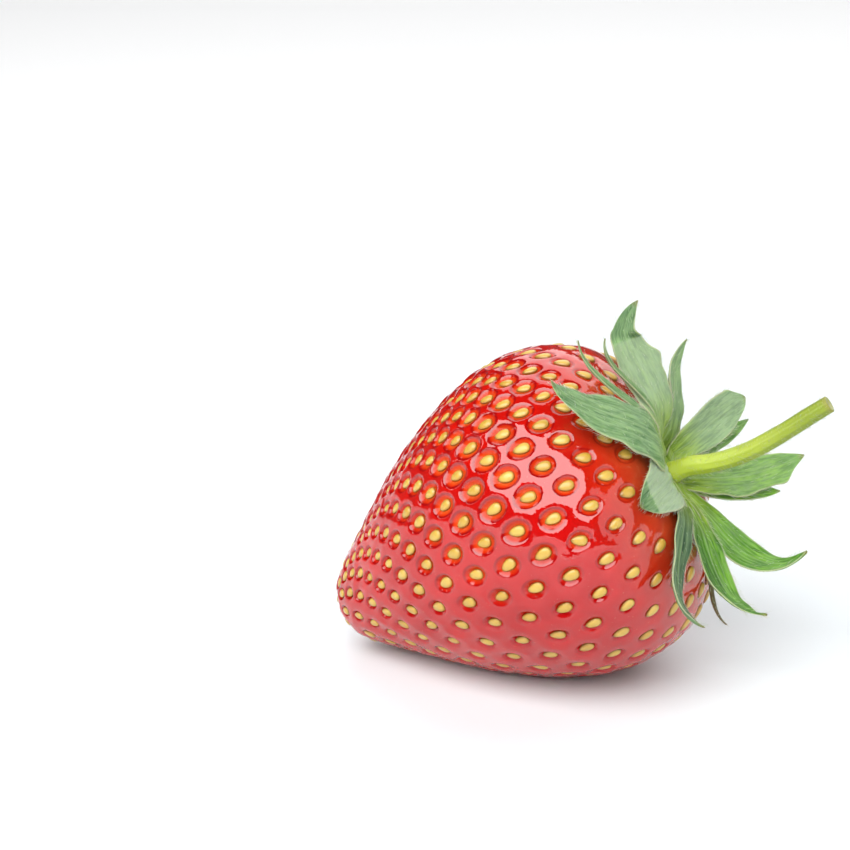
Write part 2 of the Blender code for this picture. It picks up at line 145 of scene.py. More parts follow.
# ---- stem, as in the part ----
STEM_ROOT = (17.42, 0.0, -0.6)
STEM_LENGTH = 18.3
STEM_BENDS = (-32.0, 4.0, 7.5)
STEM_STRAIGHT = 0.7
STEM_SETTLE = 2.0
STEM_FLARE = [(-0.4, 1.22), (0.3, 1.1), (1.6, 1.04), (3.0, 1.02)]
STEM_RADIUS = 1.0
STEM_SUNK = 1.5  # how far it starts inside the calyx
STEM_CUT_RADIUS = 0.92
STEM_SIDES = 72
STEM_RINGS = 150
STEM_RIBS = 9
STEM_RIB_HEIGHT = 0.028
STEM_RIB_DRIFT = 0.04  # radians a millimetre
STEM_RIBS_FROM = 2.0
STEM_RIPPLE = (4.0, 0.02)  # wavelength, height
# rings of the cut end: share of the radius, how far forward, how much of it is pith
STEM_CUT = [
    (0.985, 0.05, 0.3), (0.93, 0.075, 0.6), (0.8, 0.06, 0.8), (0.62, -0.02, 1.0),
    (0.45, -0.1, 1.0), (0.25, -0.12, 1.0),
]
PITH_SUNK = 0.11

# ---- calyx, as in the part, with thinner and broader-rooted blades ----
CUP_PROFILE = [
    (15.1, 2.6), (15.8, 3.4), (16.3, 3.4), (16.5, 3.0), (16.6, 2.4), (16.7, 1.7), (16.8, 1.0),
]
CUP_SIDES = 144
CUP_RINGS = 60
CUP_FLUTES = 24
CUP_FLUTE_HEIGHT = 0.05
CUP_FULL_OUT = 3.5  # radius at which the centre's colour is its rim's
CUP_TO_STEM = (16.8, 0.6)  # from here, over this length, its axis moves down to the stem's
BLADE_THICKNESS = 0.34
THIN_SHARE = 0.35  # of that at the margin, and again at the tip
LEAF_ROOT_RADIUS = 3.2
LEAF_ROOT_SUNK = 1.9
LEAF_ROOT_LIFT = -0.25  # where the blades meet over the cup
LEAF_ROOT_ROWS = (1.0, 0.66, 0.33)  # shares of that way, one row of points each
LEAF_TIP_POWER = 0.8
TOOTH_LENGTH = 0.07
TWIST_LENGTH = 0.5
BLADE_ROWS = 90
VEIN_HEIGHT = 0.035
VEIN_SHARPNESS = 8
VEIN_WANDER = 0.12
MIDRIB_WIDTH = 0.16
MIDRIB_ABOVE = 0.05
MIDRIB_BELOW = 0.12
FIBRE_HEIGHT = 0.01
FIBRE_GAP = 0.42
FULL_WAVE_WIDTH = 4.0  # narrower blades wave less
WAVE_HEIGHT = 0.16
WAVE_LENGTH = 4.5
CREASE_HEIGHT = 0.09  # lengthwise creases over the lower half
CREASE_WIDTH = 1.1
CREASE_STRETCH = 0.28
WAVES_FROM = 0.25  # shares of the length where waves and an uneven margin are in full
MARGIN_UNEVEN_FROM = 0.2
CREASED_SHARES = (0.55, 0.25)  # where creases end, and up to where they are in full
THIN_TIP = 0.25  # shares of the length over which a blade thins and its veins fade
VEINLESS_TIP = 0.3
MARGIN_UNEVENNESS = 0.035
MARGIN_WAVE = 2.6

Kind = namedtuple("Kind", "claw columns veins")  # claw: how broad its root is
KINDS = {"sepal": Kind(0.22, 41, 4), "bract": Kind(0.2, 21, 2)}
Leaf = namedtuple("Leaf", "name root azimuth rise turn length width cup twist belly fresh deep")
# the last column is painted shading: above 0, painted shade darkens the blade's green; below 0, it is
# paler
LEAVES = [
    Leaf("sepal_upper_front", 15.9, 145, (61, -22, 4), -21, 21.7, 6.5, -0.1, 0, 0.42, 0.0, 0.08),
    Leaf("sepal_top", 16.9, 92, (46, -2, 50), 10, 16.8, 4.3, 0.15, -60, 0.5, 0.1, -0.4),
    Leaf("sepal_upper_back", 16.9, 14, (60, 34, 31), -16, 12.6, 4.5, 0.2, 0, 0.58, 0.1, -0.3),
    Leaf("sepal_back", 16.9, 318, (47, 36, 77), 37, 16.0, 4.6, 0.2, 0, 0.5, 1.0, -0.2),
    Leaf("sepal_lower_back", 16.9, 271, (26, 30, 120), -26, 16.9, 4.2, 0.2, 35, 0.5, 0.9, 0.5),
    Leaf("sepal_underside", 16.9, 242, (22, 7, 70), -26, 18.9, 4.2, 0.2, 25, 0.45, 1.0, 0.6),
    Leaf("sepal_front", 16.9, 177, (36, -9, -30), 9, 10.6, 6.0, 0.1, 0, 0.55, 0.0, -0.5),
    Leaf("bract_upper_front", 16.9, 123, (38, -15, 26), -4, 18.5, 1.3, 0.2, 0, 0.35, 0.1, 0.2),
    Leaf("bract_top", 15.9, 45, (60, 7, 54), -12, 14.6, 3.4, 0.3, 0, 0.3, 0.2, -0.2),
    Leaf("bract_upper_back", 15.9, 353, (47, 33, 27), 7, 13.5, 2.2, 0.2, 0, 0.5, 0.5, 0.0),
    Leaf("bract_back", 15.9, 313, (43, 36, 47), 12, 13.3, 2.8, 0.2, 0, 0.5, 1.0, 0.1),
    Leaf("bract_underside", 15.9, 208, (50, -17, 54), 23, 20.2, 3.4, 0.2, 0, 0.4, 0.1, 0.85),
    Leaf("bract_sliver", 16.9, 99, (46, -13, 40), 26, 15.2, 0.9, 0.2, 0, 0.45, 0.1, 0.2),
    Leaf("bract_withered", 15.9, 267, (54, -16, 36), -47, 16.5, 1.2, 0.2, 0, 0.4, 0.0, 0.5),
]
# a tooth on the margin: where along the blade, on which side, and how far it stands out
TEETH = {
    "sepal_top": (0.55, 1, 0.5), "sepal_upper_back": (0.8, -1, 0.3), "sepal_back": (0.8, 1, 0.5),
    "bract_top": (0.55, -1, 0.35),
}
# where a blade's tip folds: from this share of its length, turn, rise, twist, and how much painted
# shade darkens the folded part
TIP_FOLDS = {"sepal_top": (0.72, -44, 10, -40, 1.15), "sepal_front": (0.8, 0, -2, 0, 0.85)}
NO_FOLD = (1.0, 0, 0, 0, 0)
FOLD_LENGTH = 0.08
# blades creased along the midrib, one half turned from the light and given painted shade: which side is
# the darker
DARKER_SIDES = {"sepal_underside": 1, "bract_underside": -1}
DARKER_SIDE_BY = 0.55
DARKER_SIDE_EDGE = 0.16

# ---- hairs ----
EDGE_HAIRS_PER_MM = 5.0
FACE_HAIRS_PER_MM2 = 1.5
FIRST_HAIR_ROW = 4  # past the rows that are sunk in the cup
STEM_HAIRS = 900
FIRST_STEM_HAIR_ROW = 8
HAIR_LENGTH = 0.55
HAIR_LENGTHS = (0.45, 1.25)
HAIR_RADIUS = 0.016
HAIR_BEND = 0.35  # how far the end leans over, in hair lengths
HAIR_LEVELS = ((0.0, 1.0), (0.55, 0.7))  # share of the length, share of the radius
HAIR_SIDES = 3
HAIR_DISORDER = 0.3
EDGE_HAIR_LEAN = 0.9  # towards the blade's tip, or the stalk's end
FACE_HAIR_LEAN = 1.4
STEM_HAIR_LEAN = 0.5

# ---- colours, linear red, green and blue; a pair is the two ends of a mix ----
SKIN_RED = (0.38, 0.0005, 0.001), (0.5, 0.002, 0.001)
# the berry's own orange towards the calyx, also made lighter as painted light against the blades'
# shadow there
SKIN_SHOULDER = (0.5, 0.088, 0.02)
SKIN_UPPER = (0.52, 0.02, 0.004)
SKIN_COLLAR = (0.5, 0.22, 0.1)
# painted light: pit insides dark red on the lower flank, lit orange on the upper one, and an orange
# glow round each seed there
PIT_INSIDE = (0.42, 0.001, 0.003), (0.55, 0.034, 0.005)
PIT_HALO_GLOW = (0.64, 0.105, 0.015)
# painted shade: the dark ring along each pit's rim, where its steep wall is in shade
PIT_RIM_SHADE = (0.2, 0.001, 0.002)
SKIN_PATCH = (0.24, 0.001, 0.003)
SKIN_SPECK = (0.5, 0.15, 0.09)
SEED_YELLOW = (0.5, 0.3, 0.035), (0.6, 0.41, 0.07)
# the seed's own browner edge, widened as painted shade down its sides into the pit
SEED_FOOT_SHADE = (0.19, 0.06, 0.006)
SEED_TIP = (0.18, 0.08, 0.012)
SEED_GRAIN = (0.34, 0.18, 0.02)
BLADE_COOL = (0.08, 0.174, 0.068), (0.242, 0.38, 0.178)
BLADE_FRESH = (0.054, 0.188, 0.006), (0.212, 0.435, 0.034)
BLADE_BLOTCHES = (0.2, 0.34, 0.13), (0.08, 0.19, 0.045)
BLADE_PALER = (0.41, 0.465, 0.345)
BLADE_UNDER = (0.26, 0.38, 0.18)
# painted shade: the greens a blade is darkened towards, for leaves in shade, beyond a fold and on a
# half turned from the light
BLADE_SHADED = (0.026, 0.062, 0.03), (0.014, 0.08, 0.002)
BLADE_LIT = (0.085, 0.145, 0.078), (0.07, 0.215, 0.01)
BLADE_BASE = (0.12, 0.21, 0.004), (0.3, 0.42, 0.03)
BLADE_VEIN = (0.3, 0.42, 0.2)
BLADE_MARGIN = (0.42, 0.44, 0.27)
BLADE_TIP = (0.2, 0.16, 0.05)
BLADE_WITHERED = (0.09, 0.06, 0.025), (0.2, 0.17, 0.1)
# painted shade: darker green in the grooves between the flutes, lighter on their ridges
CUP_FLUTE_SHADE = (0.12, 0.22, 0.006), (0.26, 0.4, 0.03)
CUP_FIBRE = (0.2, 0.32, 0.02)
CUP_RIM = (0.13, 0.26, 0.04)
STEM_BODY = (0.25, 0.325, 0.012), (0.37, 0.445, 0.032)
# painted shade on the stalk's underside, with some of its own shade-side colour
STEM_UNDER_SHADE = (0.17, 0.23, 0.01)
STEM_NEAR_ROOT = (0.48, 0.59, 0.055)
STEM_FAR = (0.18, 0.24, 0.004)
STEM_BROWNED = (0.24, 0.2, 0.04)
STEM_PITH = (0.28, 0.3, 0.1), (0.42, 0.4, 0.2)
HAIR = (0.42, 0.46, 0.32), (0.55, 0.58, 0.46)
# painted light: the floor is painted whiter farther off, where the lamps' light falls off
FLOOR_NEAR = (0.725, 0.77, 0.792), (0.74, 0.785, 0.805)
FLOOR_FAR_LIT = (0.985, 0.988, 0.992)
WORLD_WHITE = (0.97, 0.98, 1.0)

# ---- camera and light ----
CAMERA_AZIMUTH = 12.98
CAMERA_HEIGHT = 18.0
CAMERA_DISTANCE = 0.262
CAMERA_LENS = 100.0
CAMERA_SENSOR = 36.0
BODY_MIDDLE = (0.00076, 0.0, 0.01624)
AIM_LEFT = 0.01224  # the object sits right of and below the picture's middle
AIM_ABOVE = 0.01077

SoftBox = namedtuple("SoftBox", "name azimuth elevation distance width height radiance")
LIGHTS = [
    SoftBox("key", -11, 44, 0.6, 1.0, 0.58, 4.95),
    SoftBox("left_strip", -84, 28, 0.7, 0.04, 0.45, 3.6),
    SoftBox("right_card", 72, 15, 0.7, 0.44, 0.5, 1.3),
    SoftBox("behind_above", 170, 48, 1.2, 2.0, 1.2, 2.0),
]
WORLD_LOW = 0.1  # brightness at the horizon
WORLD_HIGH = 0.03
WORLD_FADE = (0.05, 0.4)  # from one height to the other, as a share of straight up
FLOOR_HALF = 3.0
FLOOR_FADE = (0.12, 0.4)  # the floor is painted whiter between these distances, as painted light where the lamps fall off


# ---- curves and frames ----


def spline_points(controls, count):
    """Points along a clamped cubic B-spline."""
    degree = 3
    inner = np.linspace(0.0, 1.0, len(controls) - degree + 1)
    knots = np.concatenate([np.zeros(degree), inner, np.ones(degree)])
    u = np.linspace(0.0, 1.0 - 1e-9, count)[:, None]
    basis = ((knots[:-1] <= u) & (u < knots[1:])).astype(float)
    for k in range(1, degree + 1):
        rising = knots[k:-1] - knots[: -k - 1]
        falling = knots[k + 1 :] - knots[1:-k]
        up = (u - knots[: -k - 1]) / np.where(rising > 0, rising, 1.0) * (rising > 0)
        down = (knots[k + 1 :] - u) / np.where(falling > 0, falling, 1.0) * (falling > 0)
        basis = up * basis[:, :-1] + down * basis[:, 1:]
    return basis @ np.array(controls)


def through_three(values, t):
    """A parabola through values at 0, 1/2 and 1."""
    first, middle, last = values
    return first * (1 - t) * (1 - 2 * t) + middle * 4 * t * (1 - t) + last * t * (2 * t - 1)


def smooth_step(t):
    t = np.clip(t, 0.0, 1.0)
    return t * t * (3.0 - 2.0 * t)


def step_between(value, ends):
    """0 on the first end's side and 1 from the second one on."""
    start, end = ends
    return smooth_step((value - start) / (end - start))


def blend(first, second, share):
    return first + (second - first) * share


def stacked(*parts):
    """Coordinates side by side, spread out to one shape."""
    return np.stack(np.broadcast_arrays(*parts), -1)


def unit(vectors):
    return vectors / np.maximum(np.linalg.norm(vectors, axis=-1, keepdims=True), 1e-12)


def circle(count):
    """Evenly spaced angles, all the way round."""
    return np.arange(count) * 2 * np.pi / count


def outward(turn):
    """The way out from the berry's axis."""
    return stacked(0.0, np.cos(turn), np.sin(turn))


def sideways(turn):
    """The way round it."""
    return stacked(0.0, -np.sin(turn), np.cos(turn))


def ripple(points, wavelength, seed, waves=14):
    """A smooth random height between about -1 and 1, the same each run."""
    draw = np.random.default_rng(seed)
    heading = unit(draw.normal(size=(waves, 3)))
    pitch = 2 * np.pi / (wavelength * draw.uniform(0.7, 1.5, waves))
    phase = draw.uniform(0, 2 * np.pi, waves)
    return np.sin(points @ heading.T * pitch + phase).sum(-1) / np.sqrt(waves)


class Body:
    """The berry's smooth body and a flat map of its skin that keeps small shapes undistorted."""

    def __init__(self):
        self.x, self.r = spline_points(OUTLINE, OUTLINE_SAMPLES).T
        self.steps = np.hypot(np.diff(self.x), np.diff(self.r))
        self.middle_r = (self.r[1:] + self.r[:-1]) / 2
        self.arc = np.concatenate([[0.0], np.cumsum(self.steps)])
        self.log_map = np.concatenate([[0.0], np.cumsum(self.steps / self.middle_r)])
        self.slope_x = np.gradient(self.x, self.arc)
        self.slope_r = np.gradient(self.r, self.arc)
        lowest = np.argmin(self.lying(self.point(self.arc, -np.pi / 2))[:, 2])
        self.rest = self.lying(self.point(self.arc[lowest], -np.pi / 2))

    def point(self, arc, turn):
        x = np.interp(arc, self.arc, self.x)
        r = np.interp(arc, self.arc, self.r)
        side, flank = r * np.cos(turn), r * np.sin(turn)
        floor = 1 - step_between(r, (HOLLOW_FLOOR_RADIUS, HOLLOW_RADIUS))
        hollow = np.where(x > 0, HOLLOW_DEPTH * floor, 0.0)
        return stacked(x - hollow, side, flank - DROOP * x * x)

    def normal(self, arc, turn):
        across = np.interp(arc, self.arc, self.slope_x)
        along = -np.interp(arc, self.arc, self.slope_r)
        return unit(stacked(along, across * np.cos(turn), across * np.sin(turn)))

    def map_radius(self, arc):
        return np.exp(np.interp(arc, self.arc, self.log_map) - self.log_map[-1] / 2)

    def on_map(self, arc, turn):
        return self.map_radius(arc)[..., None] * stacked(np.cos(turn), np.sin(turn))

    def off_map(self, flat):
        radius = np.hypot(flat[..., 0], flat[..., 1])
        arc = np.interp(np.log(radius) + self.log_map[-1] / 2, self.log_map, self.arc)
        return arc, np.arctan2(flat[..., 1], flat[..., 0])

    def map_scale(self, arc):
        return self.map_radius(arc) / np.maximum(np.interp(arc, self.arc, self.r), 1e-3)

    @staticmethod
    def lying(points):
        along = np.array([np.cos(AXIS_RISE), 0.0, np.sin(AXIS_RISE)])
        side = np.array([0.0, 1.0, 0.0])
        flank = np.array([-np.sin(AXIS_RISE), 0.0, np.cos(AXIS_RISE)])
        return points @ np.array([along, side, flank])

    def placed(self, points):
        return self.lying(points) - self.rest - np.array([0.0, 0.0, REST_SINK])


# ---- the berry ----


def seed_places(body):
    """Every seed's arc and turn round the axis, by the part's own rule."""
    middles = (body.arc[1:] + body.arc[:-1]) / 2
    density = SEEDS_PER_MM2 * (1 + TIP_CROWDING * np.exp(-((middles / CROWDED_LENGTH) ** 2)))
    passed = np.cumsum(2 * np.pi * body.middle_r * body.steps * density)
    counted = np.concatenate([[0.0], passed])
    number = np.arange(int(counted[-1]))
    row = np.interp(number + FIRST_COUNT, counted, body.arc)
    turn = FIRST_TURN + SPIRAL_TURN * number
    reach = np.clip(1 - ((row - LEAN_CENTRE_ARC) / LEAN_REACH) ** 4, 0, 1)
    lean = SPIRAL_LEAN * np.cos(turn - SPIRAL_LEAN_TOWARDS)
    wave = SPIRAL_WAVE * np.cos(2 * turn - SPIRAL_WAVE_PHASE)
    arc = row + reach * (lean + wave)
    turn = (
        turn
        + TURN_LEAN * np.cos(turn - TURN_LEAN_TOWARDS)
        + TURN_WAVE * np.cos(2 * turn - TURN_WAVE_PHASE)
    )
    grown = arc < LAST_SEED_ARC
    arc, turn = arc[grown], turn[grown]
    kept = spaced_out(body.point(arc, turn), LEAST_SEED_GAP)
    return arc[kept], turn[kept]


def spaced_out(points, gap):
    """Which points to keep so that no two are closer than the gap, the earlier ones first."""
    kept = []
    for index, point in enumerate(points):
        if not kept or np.linalg.norm(points[kept] - point, axis=1).min() >= gap:
            kept.append(index)
    return np.array(kept)


class Seeds:
    """The seeds and their pits: places, sizes, and the pit that each point of the skin is in."""

    def __init__(self, body):
        self.body = body
        self.arc, self.turn = seed_places(body)
        self.place = body.point(self.arc, self.turn)
        self.normal = body.normal(self.arc, self.turn)
        self.sideways = sideways(self.turn)
        self.flat = body.on_map(self.arc, self.turn)
        self.size = np.clip(self.mean_gap() / SEED_GAP_FOR_FULL_SIZE, SMALLEST_SEED, 1.0)
        self.depth = self.pit_depth()
        self.pit = self.pit_size()

    def mean_gap(self):
        """Each seed's mean distance from its three nearest neighbours."""
        away = np.linalg.norm(self.place[:, None] - self.place[None], axis=2)
        np.fill_diagonal(away, np.inf)
        return np.sort(away, axis=1)[:, :3].mean(axis=1)

    def pit_depth(self):
        depth = blend(PIT_DEPTH_AT_TIP, PIT_DEPTH, smooth_step(self.arc / TIP_ARC))
        at_shoulder = step_between(self.arc, SHOULDER_ARCS)
        return depth + (PIT_DEPTH_AT_SHOULDER - PIT_DEPTH) * at_shoulder

    def pit_size(self):
        size = self.size * blend(PIT_SIZE_AT_TIP, 1, step_between(self.arc, PIT_OPENING_ARCS))
        size = size * blend(PIT_SIZE_BELOW, 1, step_between(np.sin(self.turn), UPPER_FLANK))
        return size * blend(1, PIT_SIZE_AT_SHOULDER, step_between(self.arc, PIT_CLOSING_ARCS))

    def around(self, along, across):
        """Map points at an offset from every seed, in its pit's size: (seed, offset, 2)."""
        out = unit(self.flat)
        aside = stacked(-out[:, 1], out[:, 0])
        scale = (self.body.map_scale(self.arc) * self.pit)[:, None, None]
        offset = along[:, None] * out[:, None] + across[:, None] * aside[:, None]
        return self.flat[:, None] + scale * offset

    def nearest(self, points, turn):
        """How far out in its pit each point is (1 at the rim), in the next pit, and which pit."""
        way_round = sideways(turn)
        first = np.full(len(points), np.inf)
        second = np.full(len(points), np.inf)
        owner = np.zeros(len(points), int)
        for index, (place, size) in enumerate(zip(self.place, self.pit)):
            offset = points - place
            across = np.einsum("ij,ij->i", offset, way_round)
            along = np.sqrt(np.maximum(np.einsum("ij,ij->i", offset, offset) - across**2, 0))
            out = np.hypot(along / (PIT_HALF_LENGTH * size), across / (PIT_HALF_WIDTH * size))
            closer = out < first
            second = np.where(closer, first, np.minimum(second, out))
            owner[closer] = index
            first = np.minimum(first, out)
        return first, second, owner


def between_pits(body, seeds):
    """Map points that fill the skin between the pits, in staggered rings."""
    half = len(body.r) // 2
    last = np.interp(-LAST_SKIN_RADIUS, -body.r[half:], body.arc[half:])
    rings = []
    for row, arc in enumerate(np.arange(FIRST_SKIN_ARC, last, SKIN_ROW_GAP)):
        radius = np.interp(arc, body.arc, body.r)
        count = max(5, int(2 * np.pi * radius / SKIN_GAP))
        turn = (np.arange(count) + 0.5 * (row % 2)) * 2 * np.pi / count
        rings.append((np.full(count, arc), turn))
    arc, turn = (np.concatenate(values) for values in zip(*rings))
    out, _, _ = seeds.nearest(body.point(arc, turn), turn)
    clear = out > PIT_RINGS[-1] + FILL_CLEARANCE
    return body.on_map(arc[clear], turn[clear])


def skin_map_points(body, seeds):
    """Map points of the fine skin: rings in and round every pit, and a fill between."""
    rings = [np.array([[0.0, 0.0]])]
    for number, share in enumerate(PIT_RINGS):
        angle = circle(PIT_RING_POINTS) + (number % 2) * np.pi / PIT_RING_POINTS
        used = slice(None) if share > SPARSE_RING else slice(None, None, 2)
        rings.append(share * stacked(np.cos(angle), np.sin(angle))[used])
    offsets = np.concatenate(rings)
    flat = seeds.around(PIT_HALF_LENGTH * offsets[:, 0], PIT_HALF_WIDTH * offsets[:, 1])
    own = np.repeat(np.arange(len(flat)), len(offsets))
    flat = flat.reshape(-1, 2)
    arc, turn = body.off_map(flat)
    first, second, owner = seeds.nearest(body.point(arc, turn), turn)
    flat = flat[(owner == own) & (second > first + NEXT_PIT_GAP)]
    return np.concatenate([flat, between_pits(body, seeds)])


def bowl(out):
    """A pit's depth, 1 on its flat floor and 0 from its crisp rim outwards."""
    rise = np.clip((out - PIT_FLOOR) / (1 - PIT_FLOOR), 0, 1)
    return (1 - rise**2) ** PIT_WALL_POWER


def skin_height(seeds, points, turn):
    """The skin's relief over the smooth body, and how far out in a pit each point is, 1 at its rim."""
    out, second, owner = seeds.nearest(points, turn)
    depth = seeds.depth[owner]
    lip = LIP_HEIGHT * np.exp(-(((out - LIP_PLACE) / LIP_WIDTH) ** 2))
    pillow = PILLOW_HEIGHT * smooth_step((out - 1.0) / PILLOW_REACH)
    swell = (depth / PIT_DEPTH) * (lip + pillow)
    height = swell - depth * np.maximum(bowl(out), bowl(second))
    for number, (wavelength, rise) in enumerate(SKIN_RIPPLES):
        height = height + rise * ripple(points, wavelength, 5 + number) * smooth_step(out)
    return height, np.minimum(out, FARTHEST_OUT)


def rested(body, smooth, relief):
    """Skin points placed in the part's frame and pressed flat where the berry rests."""
    base = body.placed(smooth)
    fade = np.clip(base[:, 2:] / REST_FADE, 0, 1)
    points = base + fade * (body.placed(smooth + relief) - base)
    points[:, 2] = np.maximum(points[:, 2], 0.0)
    return points


def open_edges(faces):
    """Directed edges that only one face uses."""
    edges = {(a, b) for face in faces for a, b in zip(face, face[1:] + face[:1])}
    return [edge for edge in edges if (edge[1], edge[0]) not in edges]


def make_skin(body, seeds):
    """The skin as one closed mesh, its hole at the stem's end closed by a point under the cup."""
    flat = skin_map_points(body, seeds)
    meshed = delaunay_2d_cdt([Vector(p) for p in flat], [], [], 0, 1e-9)
    flat = np.array([tuple(p) for p in meshed[0]])
    arc, turn = body.off_map(flat)
    smooth = body.point(arc, turn)
    height, out = skin_height(seeds, smooth, turn)
    points = rested(body, smooth, height[:, None] * body.normal(arc, turn))
    pole = body.placed(body.point(body.arc[-1:], np.zeros(1)))
    points = np.concatenate([points, pole])
    triangles = [tuple(reversed(face)) for face in meshed[2]]
    triangles += [(b, a, len(points) - 1) for a, b in open_edges(triangles)]
    fields = {
        "out": np.append(out, FARTHEST_OUT),
        "along": np.append(arc / body.arc[-1], 1.0),
        "flank": np.append(np.sin(turn), 0.0),
    }
    return mesh_piece("skin", points, triangles, fields)


def seed_shape():
    """One seed's points and faces: a drop with a blunt ridge, its point at -x."""
    u = np.linspace(0, np.pi, SEED_RINGS + 2)[1:-1]
    w = circle(SEED_SIDES)
    along = -SEED_HALF_LENGTH * np.cos(u)
    girth = (np.sin(u) ** SEED_FULLNESS * (1 - SEED_TAPER * np.cos(u)))[:, None]
    across = SEED_HALF_WIDTH * girth * np.cos(w)
    ridge = 1 + SEED_RIDGE * np.cos(2 * w)
    upward = SEED_HALF_HEIGHT * girth**SEED_FULLNESS * np.sin(w) * ridge
    ends = [(SEED_HALF_LENGTH * place, 0.0, height) for place, height in (SEED_POINT, SEED_BLUNT_END)]
    return tube(stacked(along[:, None], across, upward), ends)


def make_seeds(body, seeds):
    """Every seed, its point towards the berry's tip."""
    draw = np.random.default_rng(11)
    local, faces = seed_shape()
    tip_to_stem = np.cross(seeds.sideways, seeds.normal)
    tip_to_stem *= np.sign(tip_to_stem[:, :1] + 1e-9)
    swing = draw.normal(0, SEED_SWING, len(seeds.arc))[:, None]
    forward = unit(tip_to_stem + swing * seeds.sideways)
    right = unit(np.cross(seeds.normal, forward))
    size = (seeds.size * draw.uniform(*SEED_SIZES, len(seeds.arc)))[:, None, None]
    floor = seeds.place - seeds.depth[:, None] * seeds.normal
    lift = SEED_LIFT + SEED_LIFT_AT_TIP * (1 - smooth_step(seeds.arc / SEED_LIFT_FADE_ARC))
    middle = floor + (lift * seeds.size)[:, None] * seeds.normal
    frames = np.stack([forward, right, seeds.normal], 1)
    shapes = local[None] @ frames * size + middle[:, None]
    placed = body.placed(shapes.reshape(-1, 3))
    placed[:, 2] = np.maximum(placed[:, 2], SEED_OVER_GROUND)
    fields = {
        "rim": np.tile(np.clip(1 - local[:, 2] / SEED_HALF_HEIGHT, 0, 2) / 2, len(shapes)),
        "end": np.tile(local[:, 0] / SEED_HALF_LENGTH, len(shapes)),
        "tone": np.repeat(draw.uniform(0, 1, len(shapes)), len(local)),
    }
    return mesh_piece("seeds", placed, repeated(faces, len(local), len(shapes)), fields)


def repeated(faces, points, copies):
    """The faces of several copies of a shape, whose points follow one another."""
    return [tuple(points * k + i for i in face) for k in range(copies) for face in faces]


def tube(rings, ends):
    """Points and faces of rings of points, closed by a point at each end."""
    count, sides = rings.shape[:2]
    last = (count - 1) * sides
    low = count * sides
    faces = []
    for k in range(sides):
        after = (k + 1) % sides
        faces += [(low, after, k), (low + 1, last + k, last + after)]
        for ring in range(0, last, sides):
            faces.append((ring + k, ring + after, ring + after + sides, ring + k + sides))
    return np.concatenate([rings.reshape(-1, 3), ends]), faces


# ---- calyx ----


def leaf_directions(leaf, t):
    """Along the midrib, and the blade's upper normal and side there, in the berry's frame."""
    start, fold_turn, fold_rise, fold_twist, _ = TIP_FOLDS.get(leaf.name, NO_FOLD)
    fold = smooth_step((t - start) / FOLD_LENGTH)
    swing = np.radians(leaf.turn * t + fold_turn * fold)
    rise = np.radians(through_three(leaf.rise, t) + fold_rise * fold)[:, None]
    out = outward(np.radians(leaf.azimuth) + swing)
    axis = np.array([1.0, 0.0, 0.0])
    along = np.cos(rise) * out + np.sin(rise) * axis
    normal = np.cos(rise) * axis - np.sin(rise) * out
    side = np.cross(along, normal)
    twist = np.radians(leaf.twist * smooth_step(t / TWIST_LENGTH) + fold_twist * fold)[:, None]
    turned_normal = np.cos(twist) * normal + np.sin(twist) * side
    turned_side = np.cos(twist) * side - np.sin(twist) * normal
    return along, turned_normal, turned_side


def kind_name(leaf):
    return leaf.name.split("_")[0]


def leaf_half_width(leaf, t, side):
    claw = KINDS[kind_name(leaf)].claw
    root_power = LEAF_TIP_POWER * leaf.belly / (1 - leaf.belly)
    shape = (t + claw) ** root_power * (1 - t) ** LEAF_TIP_POWER
    peak = (leaf.belly + claw) ** root_power * (1 - leaf.belly) ** LEAF_TIP_POWER
    width = leaf.width / 2 * shape / peak
    place, toothed, reach = TEETH.get(leaf.name, (0, 0, 0))
    tooth = reach * np.exp(-(((t - place) / TOOTH_LENGTH) ** 2))
    return width + (tooth if toothed == side else 0.0)


def blade_midrib(leaf, t):
    """The midrib's points, and the way from the berry's axis to its root."""
    along, _, _ = leaf_directions(leaf, (t[1:] + t[:-1]) / 2)
    out = outward(np.radians(leaf.azimuth))
    root = np.array([leaf.root, 0.0, 0.0]) + LEAF_ROOT_RADIUS * out
    stride = leaf.length / (BLADE_ROWS - 1)
    return root + np.concatenate([np.zeros((1, 3)), np.cumsum(along * stride, axis=0)]), out


def blade_half_widths(leaf, t, v, seed):
    """The half width at each row on each column's side, with an uneven margin."""
    half = np.where(v < 0, leaf_half_width(leaf, t, -1), leaf_half_width(leaf, t, 1))
    margin = ripple(stacked(40.0 * np.sign(v), t * leaf.length, 0.0), MARGIN_WAVE, 80 + seed, 9)
    return half * (1 + MARGIN_UNEVENNESS * margin * smooth_step(t / MARGIN_UNEVEN_FROM))


def blade_waves(leaf, t, v, across, seed):
    """How far the blade stands off its plain form: waves outwards, and creases near its root."""
    down = t * leaf.length
    waviness = WAVE_HEIGHT * np.abs(v) ** 1.5 * smooth_step(t / WAVES_FROM)
    wave = waviness * ripple(stacked(across, down, 0.0), WAVE_LENGTH, 40 + seed, 9)
    creased = CREASE_HEIGHT * step_between(t, CREASED_SHARES)
    creases = stacked(across, CREASE_STRETCH * down, 0.0)
    wave = wave + creased * ripple(creases, CREASE_WIDTH, 120 + seed, 11)
    return wave * min(1.0, leaf.width / FULL_WAVE_WIDTH)


